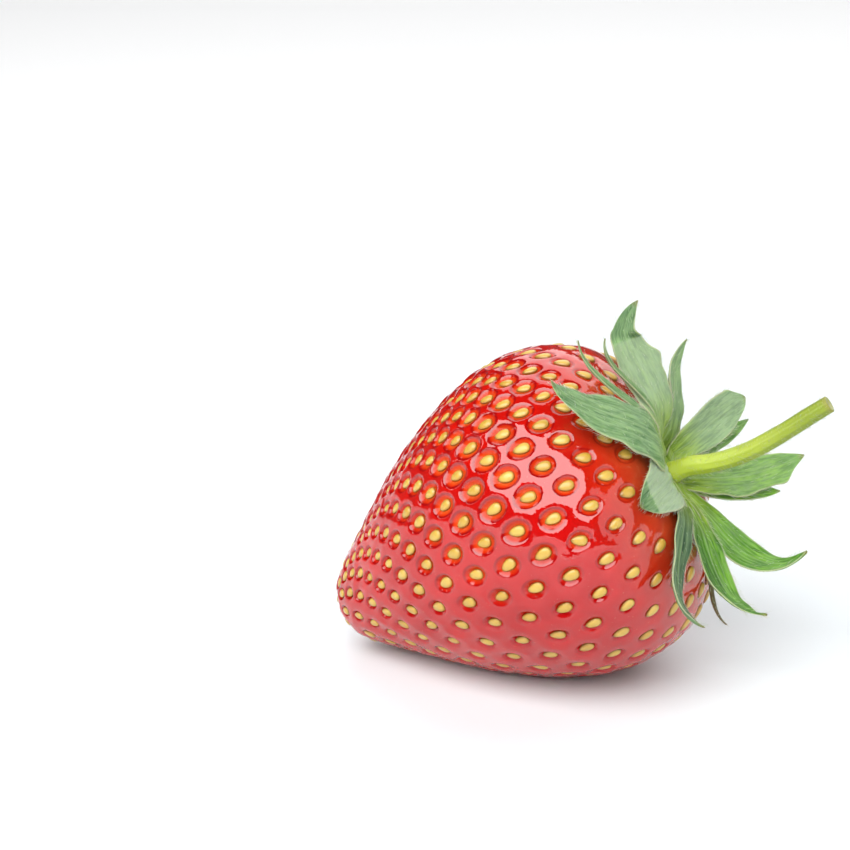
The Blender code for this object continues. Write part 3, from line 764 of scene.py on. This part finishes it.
def blade_surface(leaf, columns, seed):
    """The blade's middle surface in rows from its root by columns, half widths, t and v."""
    t = np.linspace(0, 1, BLADE_ROWS)
    v = np.linspace(-1, 1, columns)[None, :]
    midrib, out = blade_midrib(leaf, t)
    _, normal, side = leaf_directions(leaf, t)
    half = blade_half_widths(leaf, t[:, None], v, seed)
    across = v * half
    lift = leaf.cup * v * v * half + blade_waves(leaf, t[:, None], v, across, seed)
    grid = midrib[:, None] + side[:, None] * across[..., None] + normal[:, None] * lift[..., None]
    inward = np.array([LEAF_ROOT_LIFT, 0.0, 0.0]) - LEAF_ROOT_SUNK * out
    grid = np.concatenate([*[grid[:1] + share * inward for share in LEAF_ROOT_ROWS], grid])
    half = np.concatenate([*[half[:1]] * len(LEAF_ROOT_ROWS), half])
    return grid, half, np.concatenate([np.zeros(len(LEAF_ROOT_ROWS)), t]), v


def surface_normals(grid):
    down = np.gradient(grid, axis=0)
    across = np.gradient(grid, axis=1)
    return unit(np.cross(across, down))


def sheet_faces(rows, columns):
    """The faces of a closed sheet: its upper points' grid, its lower one's, and the rim."""
    index = np.arange(rows * columns).reshape(rows, columns)
    corners = index[:-1, :-1], index[:-1, 1:], index[1:, 1:], index[1:, :-1]
    top = np.stack(corners, -1).reshape(-1, 4)
    lower = rows * columns
    sides = index[:-1, 0], index[-1, :-1], index[::-1, -1][:-1], index[0, ::-1][:-1]
    rim = np.concatenate(sides)
    after = np.roll(rim, -1)
    wall = stacked(rim, after, after + lower, rim + lower)
    return np.concatenate([top, top[:, ::-1] + lower, wall])


def blade_painted_shading(leaf, t, v):
    """How much painted shade darkens its green, below 0 paler: all over, beyond a fold, and on the half
    turned from the light.
    """
    fold_start, *_, painted_shade = TIP_FOLDS.get(leaf.name, NO_FOLD)
    # painted shade beyond the fold, for the turned-over tip
    folded = painted_shade * smooth_step((t - fold_start) / (FOLD_LENGTH / 2))
    # painted shade on the half of the blade turned from the light
    facing = v * DARKER_SIDES.get(leaf.name, 0)
    darker = DARKER_SIDE_BY * smooth_step(facing / DARKER_SIDE_EDGE + 0.5) * (facing != 0)
    return leaf.deep + folded + darker


def make_blade(leaf, seed):
    """A closed thin blade with raised veins: its points, faces, colour fields and surface."""
    kind = KINDS[kind_name(leaf)]
    grid, half, rows_t, v = blade_surface(leaf, kind.columns, seed)
    normals = surface_normals(grid)
    t = rows_t[:, None]
    across = v * half
    wander = ripple(stacked(rows_t, 0.0, 0.0), 0.5, 60 + seed)[:, None]
    wander = VEIN_WANDER * wander
    veins = np.cos((v + wander * v) * np.pi * kind.veins) ** VEIN_SHARPNESS
    fibres = np.cos(across * 2 * np.pi / FIBRE_GAP + 3 * wander)
    midrib = np.exp(-((across / MIDRIB_WIDTH) ** 2)) * (1 - 0.7 * t)
    full = 1 - np.abs(v) ** 5
    fade = full * smooth_step((1 - t) / VEINLESS_TIP)
    relief = (VEIN_HEIGHT * veins + FIBRE_HEIGHT * fibres) * fade
    taper = blend(THIN_SHARE, 1, smooth_step((1 - t) / THIN_TIP))
    thick = BLADE_THICKNESS * blend(THIN_SHARE, 1, full) * taper
    upper = grid + normals * (thick / 2 + relief + MIDRIB_ABOVE * midrib)[..., None]
    lower = grid - normals * (thick / 2 + relief + MIDRIB_BELOW * midrib)[..., None]
    on_points = {
        "across": v,
        "width_mm": across + 20.0 * seed,
        "length_mm": t * leaf.length,
        "t": t,
        "vein": veins * fade + midrib,
        "fresh": leaf.fresh,
        "deep": blade_painted_shading(leaf, t, v),
        "alive": float(leaf.name != "bract_withered"),
    }
    fields = {
        name: np.tile(np.broadcast_to(values, half.shape).ravel(), 2)
        for name, values in on_points.items()
    }
    fields["under"] = np.repeat([0.0, 1.0], half.size)
    points = np.concatenate([upper.reshape(-1, 3), lower.reshape(-1, 3)])
    return points, sheet_faces(*half.shape), fields, (grid, normals, half)


def make_blades(body):
    """All sepals as one piece and all bracts as another, and where hairs can grow on them."""
    pieces, surfaces = [], []
    for kind in KINDS:
        grown = [make_blade(leaf, n) for n, leaf in enumerate(LEAVES) if kind_name(leaf) == kind]
        points, faces, fields, own_surfaces = zip(*grown)
        starts = np.cumsum([0] + [len(own) for own in points])
        faces = np.concatenate([own + start for own, start in zip(faces, starts)])
        joined = {name: np.concatenate([own[name] for own in fields]) for name in fields[0]}
        pieces.append(mesh_piece(kind + "s", body.placed(np.concatenate(points)), faces, joined))
        surfaces += own_surfaces
    return pieces, surfaces


def make_cup(body):
    """The calyx's middle: a fluted cone that carries the blades and runs out onto the stem."""
    turn = circle(CUP_SIDES)
    even = np.linspace(0, 1, CUP_RINGS)
    places = (smooth_step(even) + even) * 0.5
    knots = np.linspace(0, 1, len(CUP_PROFILE))
    x, r = (np.interp(places, knots, values) for values in zip(*CUP_PROFILE))
    wander = 0.5 * np.sin(3 * turn + 1.0) + 0.4 * np.sin(5 * turn)
    flutes = np.cos(CUP_FLUTES * turn + wander)[None] * np.sin(np.pi * places)[:, None]
    spread = r[:, None] + CUP_FLUTE_HEIGHT * flutes
    rings = stacked(x[:, None], spread * np.cos(turn), spread * np.sin(turn))
    start, length = CUP_TO_STEM
    rings[..., 2] += STEM_ROOT[2] * smooth_step((x - start) / length)[:, None]
    points, faces = tube(rings, [[x[0], 0.0, 0.0], [x[-1], 0.0, STEM_ROOT[2]]])
    fields = {
        "out": np.append(np.repeat(r / CUP_FULL_OUT, CUP_SIDES), [0.8, 0.4]),
        "flute": np.append(flutes.ravel(), [0.0, 0.0]),
    }
    return mesh_piece("calyx_cup", body.placed(points), faces, fields)


# ---- stem ----


def stem_frames():
    """Places along the stem, its path, heading and radius there."""
    along = np.linspace(-STEM_SUNK, STEM_LENGTH, STEM_RINGS)
    middles = np.maximum((along[1:] + along[:-1]) / 2, 0.0)
    bend = np.radians(through_three(STEM_BENDS, middles / STEM_LENGTH))
    bend = bend * smooth_step((middles - STEM_STRAIGHT) / STEM_SETTLE)
    heading = stacked(np.cos(bend), 0.0, np.sin(bend))
    strides = np.cumsum(heading * np.diff(along)[:, None], axis=0)
    start = np.array(STEM_ROOT) + np.array([along[0], 0.0, 0.0])
    path = start + np.concatenate([np.zeros((1, 3)), strides])
    places, radii = zip(*STEM_FLARE, (STEM_LENGTH / 2, STEM_RADIUS), (STEM_LENGTH, STEM_CUT_RADIUS))
    radius = np.interp(along, places, radii)
    return along, path, unit(np.gradient(path, axis=0)), radius


def make_stem(body):
    """The ribbed stalk, with a rounded rim and a slightly sunk pith at its cut end."""
    along, path, heading, radius = stem_frames()
    turn = circle(STEM_SIDES)
    side = np.array([0.0, 1.0, 0.0])
    up = unit(np.cross(side, heading)) * -1.0
    down = along[:, None]
    ribs = STEM_RIB_HEIGHT * np.cos(STEM_RIBS * turn + STEM_RIB_DRIFT * down)
    wavelength, height = STEM_RIPPLE
    at = stacked(down, 2 * np.cos(turn), 2 * np.sin(turn))
    spread = radius[:, None] + ribs * smooth_step(down / STEM_RIBS_FROM)
    spread = spread + height * ripple(at, wavelength, 77)
    rings = path[:, None] + spread[..., None] * (
        np.cos(turn)[None, :, None] * side + np.sin(turn)[None, :, None] * up[:, None]
    )
    end, ahead = path[-1], heading[-1]
    cut = [end + ahead * forward + (rings[-1] - end) * share for share, forward, _ in STEM_CUT]
    rings = np.concatenate([rings, np.stack(cut)])
    points, faces = tube(rings, [path[0], end - ahead * PITH_SUNK])
    t = np.concatenate([along / STEM_LENGTH, np.ones(len(cut))])
    pith = np.concatenate([0 * along, [share for _, _, share in STEM_CUT]])
    fields = {
        "t": np.append(np.repeat(t, STEM_SIDES), [0.0, 1.0]),
        "cut": np.append(np.repeat(pith, STEM_SIDES), [0.0, 1.0]),
        "turn": np.append(np.tile(turn, len(rings)), [0.0, 0.0]),
    }
    return mesh_piece("stalk", body.placed(points), faces, fields)


# ---- hairs ----


def hair_mesh(roots, headings, bends, lengths):
    """Fine curved three-sided spikes."""
    side = unit(np.cross(headings, bends + 1e-6))
    other = unit(np.cross(headings, side))
    rings = []
    for share, thick in HAIR_LEVELS:
        straight = headings * (lengths * share)[:, None]
        middle = roots + straight + bends * (lengths * share**2 * HAIR_BEND)[:, None]
        for angle in circle(HAIR_SIDES):
            out = np.cos(angle) * side + np.sin(angle) * other
            rings.append(middle + HAIR_RADIUS * thick * out)
    rings.append(roots + headings * lengths[:, None] + bends * (lengths * HAIR_BEND)[:, None])
    faces = []
    for k in range(HAIR_SIDES):
        after = (k + 1) % HAIR_SIDES
        faces += [(k, after, 3 + after, 3 + k), (3 + k, 3 + after, 6)]
    faces.append((2, 1, 0))
    return np.concatenate(np.stack(rings, 1)), repeated(faces, len(rings), len(roots))


def blade_hairs(surfaces, draw):
    """Roots, headings and bends of the silky hairs on the blades' edges and faces."""
    hairs = []
    for grid, normals, half in surfaces:
        down, across = (unit(np.gradient(grid, axis=axis)) for axis in (0, 1))
        length = np.linalg.norm(np.diff(grid[:, 0], axis=0), axis=1).sum()

        def rows(count):
            return draw.uniform(FIRST_HAIR_ROW, len(grid) - 1.01, count).astype(int)

        def grow(root, heading, along):
            hairs.append((root, unit(heading), along + HAIR_DISORDER * draw.normal(size=root.shape)))

        for column, sign in ((0, -1.0), (-1, 1.0)):
            at = rows(int(EDGE_HAIRS_PER_MM * length)), column
            grow(grid[at], sign * across[at] + EDGE_HAIR_LEAN * down[at], down[at])
        area = length * np.abs(half).mean() * 2
        count = int(FACE_HAIRS_PER_MM2 * area)
        at = rows(count), draw.integers(1, grid.shape[1] - 1, count)
        out = np.where(draw.uniform(size=count) < 0.5, -1.0, 1.0)[:, None] * normals[at]
        grow(grid[at] + out * BLADE_THICKNESS * 0.4, out + FACE_HAIR_LEAN * down[at], down[at])
    return [np.concatenate(values) for values in zip(*hairs)]


def stem_hairs(draw):
    """Roots, headings and bends of the hairs on the stalk."""
    _, path, heading, radius = stem_frames()
    row = draw.integers(FIRST_STEM_HAIR_ROW, len(path) - 2, STEM_HAIRS)
    turn = draw.uniform(0, 2 * np.pi, STEM_HAIRS)[:, None]
    side = np.array([0.0, 1.0, 0.0])
    up = np.cross(heading[row], side)
    out = np.cos(turn) * side + np.sin(turn) * unit(up)
    roots = path[row] + out * (radius[row] * 0.98)[:, None]
    headings = unit(out + 0.25 * draw.normal(size=(STEM_HAIRS, 3)) + STEM_HAIR_LEAN * heading[row])
    return roots, headings, heading[row] + HAIR_DISORDER * draw.normal(size=(STEM_HAIRS, 3))


def make_hairs(body, surfaces):
    draw = np.random.default_rng(23)
    grown = {"calyx_hairs": blade_hairs(surfaces, draw), "stalk_hairs": stem_hairs(draw)}
    pieces = []
    for name, (roots, headings, bends) in grown.items():
        lengths = HAIR_LENGTH * draw.uniform(*HAIR_LENGTHS, len(roots))
        points, faces = hair_mesh(roots, headings, unit(bends), lengths)
        pieces.append(mesh_piece(name, body.placed(points), faces, {}))
    return pieces


# ---- pieces and materials ----


def new_object(name, data):
    made = bpy.data.objects.new(name, data)
    bpy.context.scene.collection.objects.link(made)
    return made


def mesh_piece(name, points, faces, fields):
    """A smooth-shaded mesh from points in millimetres, with named values on its vertices."""
    mesh = bpy.data.meshes.new(name)
    mesh.from_pydata((points * MM).tolist(), [], [tuple(int(i) for i in face) for face in faces])
    for field, values in fields.items():
        layer = mesh.attributes.new(field, "FLOAT", "POINT")
        layer.data.foreach_set("value", np.asarray(values, np.float32))
    mesh.shade_smooth()
    mesh.update()
    return new_object(name, mesh)


class Nodes:
    """The node tree of a material or of the world, built one node at a time."""

    def __init__(self, data):
        self.data = data
        data.use_nodes = True
        self.tree = data.node_tree

    def put(self, socket, value):
        if isinstance(value, bpy.types.NodeSocket):
            self.tree.links.new(value, socket)
        elif isinstance(value, tuple) and len(value) == 3 and socket.type == "RGBA":
            socket.default_value = (*value, 1.0)
        else:
            socket.default_value = value

    def node(self, kind, inputs=(), **settings):
        made = self.tree.nodes.new("ShaderNode" + kind)
        for key, value in settings.items():
            setattr(made, key, value)
        for key, value in dict(inputs).items():
            self.put(made.inputs[key], value)
        return made

    def field(self, name):
        return self.node("Attribute", attribute_name=name).outputs["Fac"]

    def place(self, kind="Object"):
        return self.node("TexCoord").outputs[kind]

    def noise(self, scale, detail=3.0, roughness=0.5, at=None):
        values = {"Scale": scale, "Detail": detail, "Roughness": roughness}
        values["Vector"] = at or self.place()
        return self.node("TexNoise", values).outputs["Fac"]

    def ramp(self, value, low, high, to_low=0.0, to_high=1.0):
        ends = {"From Min": low, "From Max": high, "To Min": to_low, "To Max": to_high}
        made = self.node("MapRange", {"Value": value, **ends}, interpolation_type="SMOOTHSTEP")
        return made.outputs["Result"]

    def math(self, operation, first, second=0.0):
        return self.node("Math", {0: first, 1: second}, operation=operation).outputs["Value"]

    def times(self, first, second):
        return self.math("MULTIPLY", first, second)

    def mix(self, share, first, second):
        made = self.node("Mix", {"Factor": share, "A": first, "B": second}, data_type="RGBA")
        return next(out for out in made.outputs if out.type == "RGBA")

    def bump(self, height, strength, distance, onto=None):
        inputs = {"Height": height, "Strength": strength, "Distance": distance}
        if onto is not None:
            inputs["Normal"] = onto
        return self.node("Bump", inputs).outputs["Normal"]

    def at(self, x, y, z=0.0):
        return self.node("CombineXYZ", {"X": x, "Y": y, "Z": z}).outputs["Vector"]

    def shade(self, soft, **values):
        """Sets the shader: weight, radius and depth of the light's scatter, and all else by name."""
        shader = self.tree.nodes["Principled BSDF"]
        values.update(zip(("Subsurface_Weight", "Subsurface_Radius", "Subsurface_Scale"), soft))
        for key, value in values.items():
            self.put(shader.inputs[key.replace("_", " ")], value)
        return self.data


def new_material(name):
    return Nodes(bpy.data.materials.new(name))


def skin_colour(m, out, upper):
    """Red, paler and warmer towards the calyx, that warmth partly painted light; each pit's inside and
    halo painted lit orange on the upper flank, and a painted shade ring at its rim.
    """
    along, flank = m.field("along"), m.field("flank")
    red = m.mix(m.noise(260.0, 4.0, 0.6), *SKIN_RED)
    # orange towards the calyx: partly the berry's own colour, partly painted light that lifts the
    # blades' shadow
    red = m.mix(m.times(m.ramp(along, 0.66, 0.92), 0.75), red, SKIN_SHOULDER)
    red = m.mix(m.times(m.ramp(flank, 0.0, 1.0), 0.20), red, SKIN_UPPER)
    pale = m.mix(m.ramp(along, 0.88, 0.96), red, SKIN_COLLAR)
    # painted light: pits on the upper flank get a lit orange inside and a glowing halo round their
    # seeds
    lit_pits = m.times(upper, m.ramp(along, 0.22, 0.52, 0.30, 1.0))
    plain = m.ramp(along, 0.68, 0.86, 0.90, 0.40)
    inside = m.times(m.ramp(out, 0.95, 0.75), plain)
    colour = m.mix(inside, pale, m.mix(lit_pits, *PIT_INSIDE))
    halo_glow = m.times(m.ramp(out, 0.78, 0.42), m.times(lit_pits, plain))
    colour = m.mix(halo_glow, colour, PIT_HALO_GLOW)
    # painted shade: a dark ring at each pit's rim, stronger on the upper flank
    rim_shade = m.times(m.ramp(along, 0.86, 0.66, 0.35, 1.0), m.math("ADD", upper, 0.35))
    rim = m.times(m.ramp(out, 0.76, 0.94), m.ramp(out, 1.10, 0.98))
    colour = m.mix(m.times(rim, m.times(rim_shade, 0.50)), colour, PIT_RIM_SHADE)
    patch = m.ramp(m.noise(140.0, 3.0, 0.6), 0.35, 0.65)
    colour = m.mix(m.times(patch, 0.28), colour, SKIN_PATCH)
    speck = m.ramp(m.noise(2600.0, 1.0), 0.70, 0.78)
    return m.mix(m.times(speck, 0.20), colour, SKIN_SPECK)


def skin_material():
    m = new_material("ripe_skin")
    out, flank = m.field("out"), m.field("flank")
    dull = m.times(m.ramp(out, 0.98, 0.66), m.ramp(flank, -0.50, 0.40, -0.45, -0.78))
    fine = m.bump(m.noise(1500.0, 3.0), 0.12, 0.00006)
    return m.shade(
        soft=(0.20, (1.0, 0.20, 0.10), 0.0014),
        Base_Color=skin_colour(m, out, m.ramp(flank, -0.50, 0.40)),
        Roughness=0.36, IOR=1.45, Specular_IOR_Level=0.0,
        Coat_Weight=m.math("ADD", dull, 1.0),
        Coat_Roughness=0.035, Coat_IOR=1.68,
        Normal=m.bump(m.noise(420.0, 2.0), 0.20, 0.00012, fine),
        Coat_Normal=m.bump(m.noise(800.0, 2.0), 0.35, 0.00010, fine),
    )


def seed_material():
    m = new_material("seed_yellow")
    colour = m.mix(m.field("tone"), *SEED_YELLOW)
    # browner low on each seed: its own edge, widened as painted shade into the pit
    colour = m.mix(m.ramp(m.field("rim"), 0.12, 0.46), colour, SEED_FOOT_SHADE)
    colour = m.mix(m.times(m.ramp(m.field("end"), -0.60, -1.0), 0.6), colour, SEED_TIP)
    grain = m.noise(2400.0, 2.0)
    return m.shade(
        soft=(0.12, (1.0, 0.6, 0.2), 0.0003),
        Base_Color=m.mix(m.times(grain, 0.35), colour, SEED_GRAIN),
        Roughness=0.38, Coat_Weight=0.50, Coat_Roughness=0.14,
        Normal=m.bump(grain, 0.25, 0.00004),
    )


def along_fibres(m, stretch, scale, detail):
    """Noise drawn out along a blade, told by the share of its length that counts."""
    where = m.at(m.field("width_mm"), m.times(m.field("length_mm"), stretch))
    return m.noise(scale, detail, 0.6, where)


def living_green(m, grain):
    """Cool or fresh green with lighter and darker blotches, made paler below 0 and darkened with
    painted shade above 0, as its field of painted shading tells.
    """
    blotches = along_fibres(m, 0.60, 0.9, 4.0)
    fresh, deep = m.field("fresh"), m.field("deep")
    colour = m.mix(fresh, m.mix(grain, *BLADE_COOL), m.mix(grain, *BLADE_FRESH))
    for share, blotch in zip(((0.40, 0.70, 0.0, 0.55), (0.48, 0.28, 0.0, 0.45)), BLADE_BLOTCHES):
        colour = m.mix(m.ramp(blotches, *share), colour, blotch)
    colour = m.mix(m.math("MAXIMUM", m.times(deep, -1.0), 0.0), colour, BLADE_PALER)
    colour = m.mix(m.times(m.field("under"), 0.20), colour, BLADE_UNDER)
    # painted shade: the darkened green of blades in shade
    painted_shade = m.mix(grain, m.mix(fresh, *BLADE_SHADED), m.mix(fresh, *BLADE_LIT))
    return m.mix(m.times(m.math("MAXIMUM", deep, 0.0), 0.90), colour, painted_shade)


def blade_material(name):
    m = new_material(name)
    fibres = along_fibres(m, 0.10, 5.5, 4.0)
    grain = m.ramp(m.math("ADD", fibres, along_fibres(m, 0.16, 1.5, 3.0)), 0.78, 1.22)
    t = m.field("t")
    colour = living_green(m, grain)
    colour = m.mix(m.ramp(t, 0.38, 0.03, 0.0, 0.85), colour, m.mix(grain, *BLADE_BASE))
    colour = m.mix(m.times(m.field("vein"), 0.30), colour, BLADE_VEIN)
    edge = m.math("ABSOLUTE", m.field("across"))
    colour = m.mix(m.ramp(edge, 0.91, 1.0, 0.0, 0.70), colour, BLADE_MARGIN)
    colour = m.mix(m.ramp(t, 0.94, 1.0, 0.0, 0.6), colour, BLADE_TIP)
    return m.shade(
        soft=(0.30, (0.6, 1.0, 0.15), 0.0006),
        Base_Color=m.mix(m.field("alive"), m.mix(fibres, *BLADE_WITHERED), colour),
        Roughness=0.55, IOR=1.40, Specular_IOR_Level=0.20, Sheen_Weight=0.07,
        Sheen_Roughness=0.45, Sheen_Tint=(0.85, 0.95, 0.85),
        Normal=m.bump(grain, 0.35, 0.00012),
    )


def cup_material():
    m = new_material("calyx_centre")
    fibres = m.noise(900.0, 3.0)
    # painted shade in the flutes' grooves, lighter on their ridges
    near = m.mix(m.ramp(m.field("flute"), -1.0, 1.0), *CUP_FLUTE_SHADE)
    near = m.mix(m.times(fibres, 0.4), near, CUP_FIBRE)
    return m.shade(
        soft=(0.2, (0.6, 1.0, 0.15), 0.0008),
        Base_Color=m.mix(m.ramp(m.field("out"), 0.80, 1.0), near, CUP_RIM),
        Roughness=0.5,
        Normal=m.bump(fibres, 0.3, 0.00010),
    )


def stem_material():
    m = new_material("stem_green")
    around, t = m.field("turn"), m.field("t")
    sine = m.math("SINE", around)
    where = m.at(m.times(m.math("COSINE", around), 2.2), m.times(sine, 2.2), m.times(t, 1.2))
    streaks = m.noise(3.2, 4.0, 0.6, where)
    colour = m.mix(streaks, *STEM_BODY)
    # darker underside: painted shade, with some of the stalk's own shade-side colour
    colour = m.mix(m.ramp(sine, 0.1, -0.9, 0.0, 0.55), colour, STEM_UNDER_SHADE)
    colour = m.mix(m.ramp(t, 0.45, 0.05, 0.0, 0.60), colour, STEM_NEAR_ROOT)
    colour = m.mix(m.ramp(t, 0.45, 0.92, 0.0, 0.80), colour, STEM_FAR)
    colour = m.mix(m.ramp(t, 0.965, 1.0, 0.0, 0.60), colour, STEM_BROWNED)
    pith = m.mix(m.noise(3000.0, 2.0), *STEM_PITH)
    return m.shade(
        soft=(0.25, (0.7, 1.0, 0.15), 0.0008),
        Base_Color=m.mix(m.ramp(m.field("cut"), 0.4, 0.9), colour, pith),
        Roughness=0.46, Coat_Weight=0.10, Coat_Roughness=0.30,
        Normal=m.bump(streaks, 0.25, 0.00008),
    )


def hair_material():
    m = new_material("silky_hair")
    colour = m.mix(m.noise(600.0), *HAIR)
    return m.shade(soft=(0.2, (1.0, 0.2, 0.1), 0.0002), Base_Color=colour, Roughness=0.4)


def floor_material():
    m = new_material("pale_floor")
    away = m.node("VectorMath", {0: m.place()}, operation="LENGTH").outputs["Value"]
    near = m.mix(m.noise(3.0), *FLOOR_NEAR)
    # painted light: whiter with distance, where the lamps fall off
    return m.shade(soft=(), Base_Color=m.mix(m.ramp(away, *FLOOR_FADE), near, FLOOR_FAR_LIT), Roughness=0.6)


# ---- stage, light and camera ----


def toward(azimuth, height):
    """A unit vector: azimuth 0 is towards the front, -Y, and turns towards +X."""
    a, h = np.radians(azimuth), np.radians(height)
    return Vector((np.sin(a) * np.cos(h), -np.cos(a) * np.cos(h), np.sin(h)))


def make_floor():
    mesh = bpy.data.meshes.new("floor")
    corners = ((-1, -1), (1, -1), (1, 1), (-1, 1))
    mesh.from_pydata([(x * FLOOR_HALF, y * FLOOR_HALF, 0) for x, y in corners], [], [(0, 1, 2, 3)])
    mesh.materials.append(floor_material())
    new_object("floor", mesh)


def turned_back(direction):
    """The rotation of a light or camera whose back is turned in a direction."""
    return direction.to_track_quat("Z", "Y").to_euler()


def soft_box(box):
    """A rectangular light of a given brightness that faces the berry."""
    light = bpy.data.lights.new(box.name, "AREA")
    light.shape = "RECTANGLE"
    light.size = box.width
    light.size_y = box.height
    light.energy = box.radiance * np.pi * box.width * box.height
    lamp = new_object(box.name, light)
    direction = toward(box.azimuth, box.elevation)
    lamp.location = Vector(BODY_MIDDLE) + direction * box.distance
    lamp.rotation_euler = turned_back(direction)


def make_world():
    """A dim room, a little brighter low down."""
    w = Nodes(bpy.data.worlds.new("studio"))
    bpy.context.scene.world = w.data
    height = w.node("SeparateXYZ", {"Vector": w.place("Generated")}).outputs["Z"]
    background = w.tree.nodes["Background"]
    w.put(background.inputs["Color"], WORLD_WHITE)
    w.put(background.inputs["Strength"], w.ramp(height, *WORLD_FADE, WORLD_LOW, WORLD_HIGH))


def make_camera():
    data = bpy.data.cameras.new("camera")
    data.lens = CAMERA_LENS
    data.sensor_width = CAMERA_SENSOR
    data.clip_start = 0.01
    camera = new_object("camera", data)
    back = toward(CAMERA_AZIMUTH, CAMERA_HEIGHT)
    turn = np.radians(CAMERA_AZIMUTH)
    right = Vector((np.cos(turn), np.sin(turn), 0.0))
    middle = Vector(BODY_MIDDLE)
    camera.location = middle + back * CAMERA_DISTANCE
    aim = middle - right * AIM_LEFT + back.cross(right) * AIM_ABOVE
    camera.rotation_euler = turned_back(camera.location - aim)
    bpy.context.scene.camera = camera


def dress(piece, material, node):
    piece.data.materials.append(material)
    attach(piece, "root")
    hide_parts(node)


def main():
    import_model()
    body = Body()
    seeds = Seeds(body)
    dress(make_skin(body, seeds), skin_material(), "berry")
    dress(make_seeds(body, seeds), seed_material(), "berry")
    (sepals, bracts), surfaces = make_blades(body)
    dress(sepals, blade_material("sepal_green"), "calyx")
    dress(bracts, blade_material("bract_green"), "calyx")
    dress(make_cup(body), cup_material(), "calyx")
    dress(make_stem(body), stem_material(), "stem")
    calyx_hairs, stalk_hairs = make_hairs(body, surfaces)
    dress(calyx_hairs, hair_material(), "calyx")
    dress(stalk_hairs, hair_material(), "stem")

    make_floor()
    make_world()
    for light in LIGHTS:
        soft_box(light)
    make_camera()
    bpy.context.scene.view_settings.view_transform = "Standard"


main()
